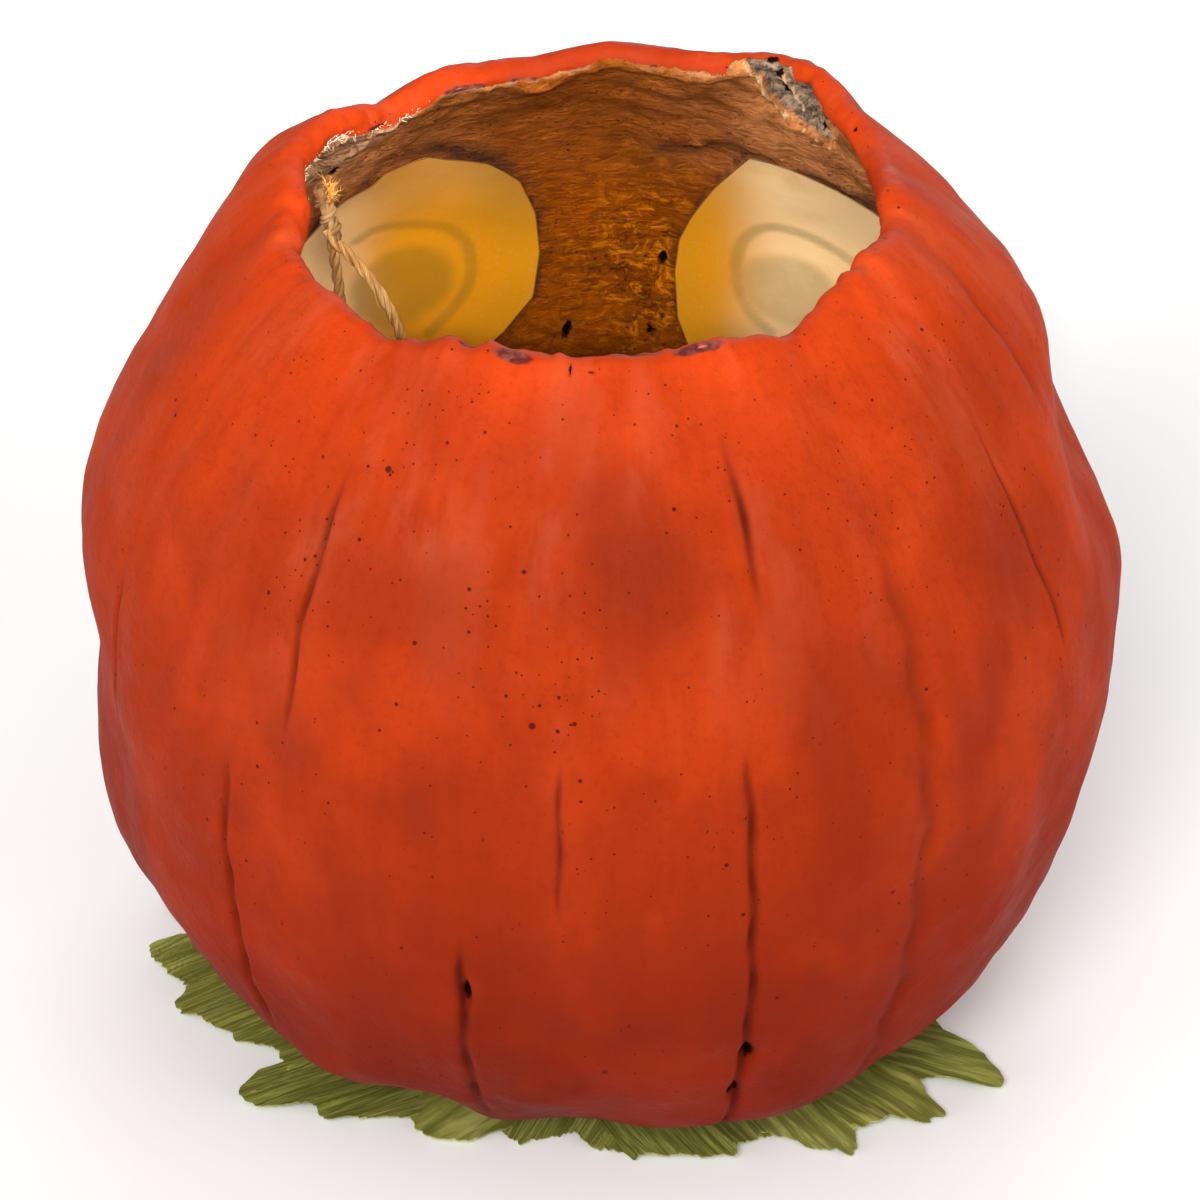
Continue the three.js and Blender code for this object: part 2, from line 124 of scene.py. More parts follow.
# The cut face and the papers glued behind the eyes, as (x, height) outlines.
EYE_CUT = in_metres((
    (-27, 122), (-25, 138), (-31, 154), (-43, 163), (-57, 161), (-68, 150), (-71, 134), (-66, 119),
    (-53, 110), (-38, 111),
))
NOSE_CUT = in_metres(((-12, 69), (12, 69), (1, 88), (-1, 88)))
MOUTH_CUT = in_metres((
    (-56, 63), (-47, 48), (-35, 38), (-22, 33), (-20, 41), (-8, 39), (-7, 30.5), (10, 30.5),
    (22, 33), (35, 38), (47, 48), (56, 63), (44, 57), (31, 51), (29, 58), (15, 55), (16, 48.5),
    (-16, 48.5), (-31, 51), (-44, 57),
))
FACE_CUTS = (EYE_CUT, mirrored(EYE_CUT), NOSE_CUT, MOUTH_CUT)
EYE_PAPERS = {
    "left": in_metres((
        (-84, 140), (-81, 158), (-66, 175), (-59, 178), (-55, 183), (-45, 185), (-39, 180),
        (-29, 174), (-21, 164), (-17, 150), (-16, 135), (-18, 119), (-26, 108), (-37, 98),
        (-54, 94), (-70, 100), (-80, 116),
    )),
    "right": in_metres((
        (84, 132), (84, 156), (79, 170), (71, 173), (62, 176), (48, 179), (39, 180), (30, 163),
        (24, 149), (21, 140), (20, 128), (21, 112), (25, 100), (42, 92), (62, 94), (77, 108),
    )),
}

# --- small helpers


def bell(distance, half_width):
    """The bell curve that lumps and hollows are made of."""
    return np.exp(-((distance / half_width) ** 2))


def turn(azimuth, other):
    """The shorter way round from one azimuth to another, in degrees."""
    return (azimuth - other + 180) % 360 - 180


def smooth(low, high, value):
    """0 below low, 1 above high and a smooth step between."""
    share = np.clip((value - low) / (high - low), 0, 1)
    return share * share * (3 - 2 * share)


def lerp(a, b, share):
    return a + (b - a) * share


def stacked(*parts):
    """Joins numbers or arrays into one array of vectors."""
    return np.stack(np.broadcast_arrays(*parts), -1)


def place(azimuth, radius, height):
    angle = np.radians(azimuth)
    return stacked(radius * np.sin(angle), -radius * np.cos(angle), height)


def unit(vectors):
    return vectors / np.linalg.norm(vectors, axis=-1, keepdims=True)


def run_along(points):
    """The way run along lines of points, from 0 at each first point."""
    steps = np.linalg.norm(np.diff(points, axis=0), axis=-1)
    return np.concatenate([0 * steps[:1], np.cumsum(steps, axis=0)])


def ripple(points, wavelength, seed, waves=22):
    """A seeded mixture of sine waves near one wavelength, for hand-made unevenness; about -2 to 2."""
    random = np.random.default_rng(seed)
    total = np.zeros(points.shape[:-1])
    for _ in range(waves):
        way = random.normal(size=3)
        way *= 2 * math.pi / wavelength * random.uniform(0.65, 1.5) / np.linalg.norm(way)
        total += np.sin(points @ way + random.uniform(0, 2 * math.pi))
    return total / math.sqrt(waves / 2)


def spots(table, azimuth, height):
    """Bell-shaped spots: azimuth, height, half-widths in degrees across and in mm up, strength."""
    total = 0
    for middle, level, across, up, strength in table:
        total = total + strength * bell(turn(azimuth, middle), across) * bell(height - level * MM, up * MM)
    return total


def patches(table, azimuth, height):
    """Spots that run together, but never to more than 1."""
    return np.clip(spots(table, azimuth, height), 0, 1)


def marks(table, azimuth, radius, along):
    """Small bell-shaped marks: azimuth, place along a column, and half-widths in mm across and along."""
    total = 0
    for middle, level, across, length in table:
        off = np.radians(turn(azimuth, middle)) * radius
        total = total + bell(off, across * MM) * bell(along - level * MM, length * MM)
    return total


def smooth_line(points, spacing):
    """A centripetal Catmull-Rom curve through the points, in even steps of about the spacing."""
    p = np.array(points, float)
    p = np.vstack([2 * p[0] - p[1], p, 2 * p[-1] - p[-2]])
    dense = []
    for i in range(1, len(p) - 2):
        steps = np.sqrt(np.linalg.norm(np.diff(p[i - 1:i + 3], axis=0), axis=1))
        knots = np.concatenate([[0], np.cumsum(steps)])
        t = np.linspace(knots[1], knots[2], 24, endpoint=False)[:, None]
        a = [lerp(p[i - 1 + k], p[i + k], (t - knots[k]) / steps[k]) for k in range(3)]
        b = [lerp(a[k], a[k + 1], (t - knots[k]) / (knots[k + 2] - knots[k])) for k in range(2)]
        dense.append(lerp(b[0], b[1], (t - knots[1]) / steps[1]))
    dense = np.vstack(dense + [p[-2][None]])
    run = run_along(dense)
    even = np.linspace(0, run[-1], max(3, round(run[-1] / spacing) + 1))
    return np.stack([np.interp(even, run, dense[:, axis]) for axis in range(p.shape[1])], -1), run[-1]


# --- form of the shell


def profile(q):
    """Radius, height and outward normal of the plain profile, for q from -1 by 0 at the waist to 1."""
    angle = np.abs(q) * math.pi / 2
    across, up = np.cos(angle), np.sin(angle)
    low, full = q < 0, BASE_FULLNESS
    scale = np.where(low, (across ** full + up ** full) ** (-1 / full), 1)
    reach = np.where(low, -BASE_DROP, CROWN_RISE)
    power = np.where(low, full - 1, 1)
    out = (across * scale) ** power / WAIST_RADIUS
    rise = (up * scale) ** power / reach
    size = np.hypot(out, rise)
    return WAIST_RADIUS * across * scale, WAIST_HEIGHT + reach * up * scale, out / size, rise / size


def rib_rise(azimuth, height):
    valleys = np.array(VALLEYS + (VALLEYS[0] + 360,), float)
    turned = (azimuth - valleys[0]) % 360 + valleys[0]
    i = np.clip(np.searchsorted(valleys, turned), 1, len(valleys) - 1)
    share = (turned - valleys[i - 1]) / (valleys[i] - valleys[i - 1])
    lobe = (np.sin(math.pi * np.clip(share, 0, 1)) ** 2 + 0.02) ** 0.4 - 0.62
    crown = RIB_CROWN * bell(height - RIB_CROWN_HEIGHT, RIB_CROWN_REACH)
    return (RIB_WAIST + RIB_FOOT * bell(height, RIB_FOOT_REACH) + crown) * lobe


def outside(azimuth, q):
    """Radius and height on the outer wall, and the plain profile's normal there."""
    radius, height, out, up = profile(q)
    rise = spots(LUMPS, azimuth, height) * MM + rib_rise(azimuth, height)
    return radius + rise * out, np.maximum(0, height + rise * up), out, up


def inside(azimuth, q, wall=WALL):
    """The inner wall follows the lumps, but not the ribs."""
    radius, height, out, up = profile(q)
    rise = spots(LUMPS, azimuth, height) * MM - wall
    return np.maximum(0, radius + rise * out), np.maximum(FLOOR_HEIGHT, height + rise * up)


def halved(low, high, is_low, steps=30):
    """The place between low and high where is_low turns from true to false."""
    for _ in range(steps):
        middle = (low + high) / 2
        below = is_low(middle)
        low, high = np.where(below, middle, low), np.where(below, high, middle)
    return low


FOOT_Q = float(halved(np.array(-1.0), np.array(0.0), lambda q: profile(q)[1] < 0))


def rim_of(azimuth):
    """The q where the outer wall turns over into the lip."""
    azimuths, radii = zip(*OPENING)
    target = np.interp(azimuth, azimuths, radii, period=360) * MM

    def too_wide(q):
        radius, _, out, _ = outside(azimuth, q)
        return radius - LIP_THICKNESS / 2 * (out + 1) > target

    return halved(np.zeros_like(azimuth), np.full_like(azimuth, RIM_LIMIT), too_wide)


def outer_point(azimuth, height):
    azimuth = np.asarray(azimuth, float)
    low, high = np.full_like(azimuth, FOOT_Q), np.full_like(azimuth, OUTER_LIMIT)
    q = halved(low, high, lambda middle: outside(azimuth, middle)[1] < height)
    return place(azimuth, outside(azimuth, q)[0], height)


def inner_point(x, height, distance):
    """The point at x and height that lies a given distance inside the front wall."""
    radius = np.full_like(x, WAIST_RADIUS)
    for _ in range(7):
        azimuth = 180 - np.degrees(np.arcsin(np.clip(x / radius, -1, 1)))
        low, high = np.full_like(x, FOOT_Q), np.full_like(x, INNER_LIMIT)
        q = halved(low, high, lambda middle: inside(azimuth, middle, WALL + distance)[1] < height, 22)
        radius = inside(azimuth, q, WALL + distance)[0]
    return place(azimuth, radius, height)


# --- marks on the outer wall

# Finger-pressed grooves: (azimuth, height) down the line, half-width, depth and how dark the painted shade in
# it is.
GROOVES = (
    (((-35, 139), (-35.3, 170), (-35.5, 195)), 0.9, 1.3, 0.9),
    (((-66.5, 107), (-66.5, 145)), 0.8, 1.2, 0.8),
    (((-42.5, 36), (-42.5, 123)), 0.9, 1.3, 0.8),
    (((-4.2, 105), (-4.2, 145)), 0.8, 0.9, 0.75),
    (((-14.5, 25), (-14.5, 93)), 1.1, 1.7, 0.95),
    (((18.9, 177), (18.3, 206)), 1.0, 1.6, 1.0),
    (((15.8, 13), (16, 80), (15.6, 143)), 1.0, 1.7, 1.0),
    (((33.5, 28), (35.5, 90), (36.5, 140), (36.5, 181)), 2.6, 1.5, 0.5),
    (((61, 132), (59, 160), (57.5, 187)), 0.8, 1.1, 0.8),
    (((75, 180), (79, 209)), 2.2, 1.2, 0.45),
)
GROOVE_TAPER = 0.010

# Deep pits that show as dark holes, painted near-black as the shade in them: azimuth, height, half-widths
# across and up, and each one's depth.
HOLES = ((16.3, 54.5, 1.9, 3.0), (15.4, 39.5, 1.5, 2.6), (-14, 78.7, 1.1, 3.6))
HOLE_DEPTHS = (3.4, 2.6, 3.2)

# Small pores in the paint that stand out, painted dark as the shade in them: azimuth and height.
PORES = (
    (-7.2, 153.5), (-10.2, 159.4), (-4, 192.3), (-35.9, 178.2), (-32.6, 163.1), (-32.6, 197.8),
    (-29, 197.7), (-21.6, 185.5), (-39.9, 183), (-43.8, 110.6), (-66.7, 76.8), (-64.6, 127.4),
    (-54.5, 157.7), (-51.6, 193.4), (-17.2, 207.9), (-4.8, 165.7), (-3.1, 154.3), (-11.8, 149.4),
    (-6, 117.1), (-35.3, 135.5), (11.6, 209.8), (43.1, 205.3), (55.3, 172.4), (60.7, 159),
    (16.7, 180.2), (34, 169.9), (36.7, 185.9), (13.7, 125.8), (19.3, 120.5), (34.1, 96.9),
    (59.6, 114.9), (59.2, 131.3), (69.1, 205.2), (-32, 75), (3, 72), (52, 36),
)
WIDE_PORES = (
    (-7.2, 153.5), (-29.5, 198.5), (0.5, 54.5), (31.5, 98), (-38, 60), (140, 115), (-120, 130),
)
PORE_SIZE, WIDE_PORE_SIZE = 0.42 * MM, 0.85 * MM

# Where the paint is full of fine pores, washed dark, with painted shade over the far rim's top,
# and scuffed pale: azimuth, height, half-widths across and up, strength.
POROUS = (
    (-30, 198, 7, 12, 1), (-36, 172, 5, 12, 1), (-6, 160, 6, 16, 1), (-4, 128, 4, 14, 0.7),
    (-14, 205, 4, 10, 0.8), (-50, 203, 8, 10, 0.8), (-66, 125, 6, 22, 0.9), (-68, 80, 7, 16, 0.8),
    (16, 168, 4, 14, 0.8), (35, 188, 6, 14, 0.8), (48, 196, 6, 10, 0.8), (57, 170, 6, 10, 0.9),
    (61, 115, 4, 16, 0.7), (13, 125, 4, 10, 0.7), (35, 96, 5, 14, 0.6), (-42, 108, 8, 16, 0.5),
    (62, 208, 6, 6, 0.8), (-20, 50, 8, 14, 0.5), (-22, 210, 4, 7, 1), (9, 212, 6, 5, 0.9),
    (18, 208, 3, 6, 1), (36, 206, 7, 7, 1), (120, 160, 14, 30, 0.7), (-120, 150, 14, 30, 0.7),
    (150, 170, 10, 20, 0.8), (-150, 160, 10, 20, 0.8), (95, 100, 8, 20, 0.6),
)
DARK_WASHES_AND_SHADE = (
    (-19, 129, 3.2, 9, 0.9), (-19, 175, 5, 10, 0.5), (6, 180, 8, 14, 0.6), (0, 87, 9, 14, 0.4),
    (-29, 78, 6, 10, 0.5), (52, 165, 8, 16, 0.5), (-27, 152, 6, 9, 0.45), (22, 155, 6, 10, 0.4),
    (33, 94, 7, 18, 0.35), (-28, 29, 6, 8, 0.8), (-15, 48, 6, 12, 0.5), (-50, 168, 7, 16, 0.45),
    # the entry at 180 degrees is painted shade over the far rim's top
    (-6, 206, 12, 13, 0.6), (-30, 213, 6, 7, 0.45), (180, 217, 42, 14, 0.85), (1, 188, 12, 13, 0.4),
    (100, 120, 10, 25, 0.5), (-110, 150, 12, 25, 0.5), (150, 120, 8, 30, 0.5),
    (-150, 110, 10, 20, 0.5), (120, 60, 12, 18, 0.5), (-95, 70, 10, 20, 0.5),
)
PALE_SCUFFS = (
    (-6, 203, 3, 10, 0.9), (-23, 191, 5, 9, 0.8), (5, 202, 2, 7, 0.7), (32, 210, 5, 6, 0.6),
    (54, 209, 6, 6, 0.6), (-61, 205, 7, 6, 0.5), (14, 170, 2, 12, 0.5), (-7, 187, 3, 10, 0.7),
    (-35, 178, 4, 10, 0.6), (110, 190, 7, 12, 0.6), (-120, 195, 8, 10, 0.6), (170, 190, 8, 10, 0.5),
    (90, 150, 6, 14, 0.4), (-150, 170, 6, 20, 0.4),
)

# Marks on the lip, as azimuth, run over the lip, and half-widths across and along the run: grey
# bruises where it is rubbed, with painted highlights in their middles, and cracks painted dark as shade.
BRUISES = (
    (-15.3, 2, 5, 1.5), (17.6, 2.2, 6.6, 1.5), (7, 3.9, 6.5, 0.7), (-24, 3.6, 3.4, 0.9),
    (-147, 9, 4, 1.1), (-152.5, 9.3, 3, 0.9), (-163, 8.6, 5, 0.8), (-126, 10, 4, 0.8),
    (168, 8.6, 2, 0.7),
)
CRACKS = (
    (-23, 3.7, 1.5, 0.8), (-5.2, 0.8, 0.35, 1.6), (-1.6, 0.3, 1.5, 0.35), (0.6, -0.5, 1.4, 0.35),
    (12.8, -0.6, 0.6, 0.5), (72, 4.5, 0.5, 1.4), (66, 3, 0.7, 0.7), (118, 5.5, 1.2, 0.7),
)
# Small lumps of paint and pulp on the lip: azimuth, half-width in degrees and rise.
LIP_BUMPS = (
    (-16, 7, 1.5), (-28, 4, 1.7), (17, 6, 1.4), (-24, 1.5, -1), (64, 2.5, 1), (-46, 4, 0.8),
    (98, 3, 0.8), (-70, 3, 0.7), (-20.5, 1.2, 0.7), (-11, 1.6, 0.6), (-7.5, 1.1, 0.7),
    (2.5, 1.8, 0.5), (8, 1.3, 0.6), (12.6, 1.1, 0.7), (22.5, 1.3, 0.8), (57, 2, 1.1),
    (60.5, 1.4, -0.7), (-36, 1.6, 0.7), (-31.5, 1.1, -0.6), (31, 2, 0.5),
)

# How far apart the columns of the mesh are: from one azimuth to another, in degrees.
COLUMN_STEPS = (
    (-180, -136, 1.05), (-136, -98, 0.8), (-98, -30, 0.9), (-30, 26, 0.65), (26, 100, 0.9),
    (100, 134, 1.05), (134, 162, 0.5), (162, 180, 0.9),
)
# Columns beside a groove, in half-widths from its middle.
CLOSE_COLUMNS = np.array([0.35, 0.75, 1.2, 1.8, 2.6, 3.6])


def groove_centre(line):
    return sum(azimuth for azimuth, _ in line) / len(line)


def groove_azimuth(line, height):
    azimuths, heights = zip(*line)
    return np.interp(height, np.array(heights) * MM, azimuths)


def shell_columns():
    """Azimuths of the columns: even ones, and close ones along each groove."""
    even = []
    for first, last, step in COLUMN_STEPS:
        even += list(np.arange(first, last, step))
    for line, half_width, _, _ in GROOVES:
        middle = groove_centre(line)
        step = math.degrees(half_width * MM / WAIST_RADIUS)
        even = [azimuth for azimuth in even if abs(azimuth - middle) > CLOSE_COLUMNS[-1] * step + 0.4]
        even += [middle, *(middle + step * CLOSE_COLUMNS), *(middle - step * CLOSE_COLUMNS)]
    return np.array(sorted(even))


def columns_at(azimuth, height):
    """The columns lean with the grooves that they follow."""
    shift = 0
    for line, _, _, _ in GROOVES:
        middle = groove_centre(line)
        shift = shift + (groove_azimuth(line, height) - middle) * bell(turn(azimuth, middle), 2.6)
    return azimuth + shift


def groove_relief(azimuth, radius, height):
    """Depth of the grooves, with their raised sides, how dark their painted shade is, and the deep holes in
    them.
    """
    relief, darkness = 0, 0
    for line, half_width, depth, dark in GROOVES:
        low, high, half = line[0][1] * MM, line[-1][1] * MM, half_width * MM
        off = np.radians(turn(azimuth, groove_azimuth(line, height))) * radius
        off = off + 0.35 * half * np.sin(height * 260 + low * 700)
        along = smooth(low - GROOVE_TAPER / 2, low + GROOVE_TAPER, height)
        along = along * smooth(-high - GROOVE_TAPER / 2, GROOVE_TAPER - high, -height)
        waver = 0.75 + 0.25 * np.sin(height * 420 + low * 900)
        sides = bell(np.abs(off) - 2.6 * half, 1.3 * half)
        relief = relief + along * depth * MM * (0.22 * sides - waver * bell(off, half))
        # painted shade along the groove's middle
        darkness = darkness + along * dark * (0.45 + 0.55 * waver) * bell(off, 0.8 * half)
    for hole, depth in zip(HOLES, HOLE_DEPTHS):
        relief = relief - depth * MM * marks([hole], azimuth, radius, height)
    return relief, np.clip(darkness, 0, 1), np.clip(marks(HOLES, azimuth, radius, height), 0, 1)


# --- marks on the inner wall

# The torn pocket under the lip on the right: its cream ridges and its pits; the ledge of thicker
# pulp over the right paper; and the frayed band on the left, all as (azimuth, height).
POCKET_RIDGE = (
    (151.5, 223), (149.2, 219.3), (148.3, 215.9), (147.9, 209.4), (147.2, 203.5), (144.6, 199.7),
    (141.4, 197.1), (138.6, 194.2),
)
POCKET_FOLD = (
    (143.4, 219.5), (142.8, 215), (142.2, 210.8), (141, 205.6), (138.5, 203.4), (136.2, 201.2),
)
LEDGE = (
    (172, 177), (169.7, 179), (166.3, 179.5), (162.5, 183.5), (158.8, 183.4), (155.9, 180.5), (150, 176),
)
FRAY = (
    (-88, 196), (-105, 192), (-127.8, 193), (-134.5, 198.6), (-140.3, 198.5), (-147, 206), (-152, 216),
)
# Azimuth, height, and half-widths across and up, of the dark holes in the torn pulp, and of the
# rough pits in the lower wall between the papers and the finger hole by the knot; all are painted dark as the
# shade in them.
POCKET_PITS = (
    (145.1, 210, 1.2, 2.2), (145.7, 222.2, 1.8, 0.9), (144, 219, 1.2, 1.4), (139.9, 199.6, 0.8, 1.2),
    (136.7, 210.9, 1, 1.3), (138.6, 215, 1, 1),
)
INNER_PITS = (
    (174.9, 113.5, 2.4, 2.2), (171.6, 112.5, 1.5, 1.6), (169.4, 117.5, 2.8, 1.8),
    (173.4, 107, 1.8, 1.8), (170, 103, 2.5, 2), (171.4, 142, 1.3, 1.5), (171.8, 131, 1.3, 1.4),
    (-130, 193.5, 1.7, 1.9), (-176, 105, 1.4, 1.3),
)


def height_over(line, azimuth, height):
    """How far a height is over an (azimuth, height) line, which is level past its ends."""
    azimuths, heights = zip(*sorted(line))
    return height - np.interp(azimuth, azimuths, np.array(heights) * MM)


def line_distance(points, x, height):
    """The distance from (x, height) places to the nearest stretch of a line."""
    best = np.full(x.shape, 1.0)
    for (x0, z0), (x1, z1) in zip(points, points[1:]):
        dx, dz = x1 - x0, z1 - z0
        share = np.clip(((x - x0) * dx + (height - z0) * dz) / (dx * dx + dz * dz), 0, 1)
        best = np.minimum(best, np.hypot(x - x0 - share * dx, height - z0 - share * dz))
    return best


def outline_distance(outlines, x, height):
    """The distance to the nearest edge of any of the closed outlines."""
    return np.min([line_distance((*outline, outline[0]), x, height) for outline in outlines], axis=0)


def line_offset(line, azimuth, height):
    """How far a place is from an (azimuth, height) line: above 0 over the line."""
    along = [(math.radians(azimuth_there) * RIM_RADIUS, level * MM) for azimuth_there, level in line]
    away = line_distance(along, np.radians(azimuth) * RIM_RADIUS, height)
    return np.where(height_over(line, azimuth, height) > 0, away, -away)


def inner_marks(azimuth, radius, height):
    """Relief of the inner wall, and how grey, cream, frayed and holed it is, and how dark its painted shade
    is.
    """
    turned = azimuth % 360
    ridge = line_offset(POCKET_RIDGE, turned, height)
    fold = line_offset(POCKET_FOLD, turned, height)
    in_pocket = smooth(136.5, 139.5, turned) * smooth(-152.5, -150.5, -turned)
    in_fold = smooth(133, 136.5, turned) * smooth(-146, -143.5, -turned)
    past_ridge = smooth(0, 1.5 * MM, ridge) * in_pocket
    past_fold = smooth(0, 1.5 * MM, fold) * in_fold
    hollow = np.maximum(past_ridge * (1 - 0.6 * bell(fold, 2 * MM) * in_fold), past_fold)
    cream = 0.8 * np.maximum(bell(ridge, 0.65 * MM) * in_pocket, bell(fold, 0.9 * MM) * in_fold)
    relief = -2.6 * MM * hollow + 1.2 * MM * cream

    ledge = height_over(LEDGE, turned, height)
    by_ledge = smooth(147, 153, turned) * smooth(-175, -170, -turned)
    relief += 1.6 * MM * by_ledge * smooth(-0.8 * MM, 1.2 * MM, ledge) * bell(ledge - 1 * MM, 9 * MM)
    relief -= 1.0 * MM * by_ledge * bell(ledge + 4 * MM, 3.5 * MM)
    over_paper = smooth(134, 139, turned) * smooth(-152, -147, -turned)
    paper_top = 0.1715 + 0.0004 * (turned - 137)
    # Painted shade under the ledge, and a painted shadow in a band over the right paper's top.
    dark = 0.75 * by_ledge * bell(ledge + 3.5 * MM, 3 * MM)
    dark += 0.8 * over_paper * bell(height - paper_top, 3.2 * MM)

    left = turn(azimuth, -120)
    in_fray = smooth(-19, -10, left) * smooth(-26, -18, -left)
    frayed = in_fray * smooth(-2 * MM, 1.5 * MM, height_over(FRAY, azimuth, height))
    pits = marks(INNER_PITS, azimuth, radius, height)
    pocket_pits = marks(POCKET_PITS, azimuth, radius, height)
    relief -= 2.2 * MM * pits + 1.5 * MM * pocket_pits
    hole = np.clip(1.3 * pits + pocket_pits, 0, 1)
    return relief, np.clip(hollow, 0, 1), np.clip(cream, 0, 1), np.clip(dark, 0, 1), frayed, hole


def paper_shade(points):
    """Painted shadow on the inner wall along the edges of the eye papers, where they stand off the wall."""
    x, height = points[..., 0], points[..., 2]
    edge = outline_distance(EYE_PAPERS.values(), x, height)
    above = bell(np.maximum(edge - 1.2 * MM, 0), 2.2 * MM) * smooth(0.148, 0.162, height)
    # Where the painted shadow over the papers' top edges is strongest.
    shadow_strength = 1.2 * bell(x + 0.035, 0.015) + 0.7 * bell(x - 0.072, 0.013) + 0.5 * bell(x + 0.078, 0.010)
    shade = np.maximum(0.8 * bell(edge, 0.8 * MM), above * shadow_strength)
    return np.clip(shade, 0, 1) * (points[..., 1] > 0.03)


# --- meshes


def new_object(name, points, faces, materials, smooth_shaded=True):
    mesh = bpy.data.meshes.new(name)
    mesh.from_pydata(np.asarray(points).reshape(-1, 3).tolist(), [], faces)
    for material in materials:
        mesh.materials.append(material)
    if smooth_shaded:
        mesh.polygons.foreach_set("use_smooth", [True] * len(mesh.polygons))
    mesh.update()
    made = bpy.data.objects.new(name, mesh)
    bpy.context.scene.collection.objects.link(made)
    return made


def set_attributes(made, **fields):
    """Stores a number or a vector for each vertex, for the materials to read."""
    for name, values in fields.items():
        values = np.asarray(values, np.float32)
        vectors = values.ndim > 1 and values.shape[-1] == 3
        attribute = made.data.attributes.new(name, "FLOAT_VECTOR" if vectors else "FLOAT", "POINT")
        attribute.data.foreach_set("vector" if vectors else "value", values.ravel())


def grid_faces(rows, columns, closed, first=0):
    """Quads of a grid of points, closed on itself across the columns if asked."""
    index = first + np.arange(rows * columns).reshape(rows, columns)
    right = np.roll(index, -1, axis=1)
    if not closed:
        index, right = index[:, :-1], right[:, :-1]
    return np.stack([index[:-1], right[:-1], right[1:], index[1:]], -1).reshape(-1, 4)


def grid_normals(grid, closed):
    """Unit normals of a grid of points; they point out where the columns turn with rising azimuth."""
    if closed:
        across = np.roll(grid, -1, axis=1) - np.roll(grid, 1, axis=1)
    else:
        across = np.gradient(grid, axis=1)
    normals = np.cross(across, np.gradient(grid, axis=0))
    return normals / np.maximum(np.linalg.norm(normals, axis=-1, keepdims=True), 1e-12)


def finish_piece(made, slot, *nodes):
    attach(made, BODY)
    if nodes:
        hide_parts(*nodes)


# --- materials


def linear(colour):
    """A colour as seen on a screen, 0 to 255, turned into the linear one that shaders take."""
    shares = [channel / 255 for channel in colour]
    return (*(c / 12.92 if c <= 0.04045 else ((c + 0.055) / 1.055) ** 2.4 for c in shares), 1)


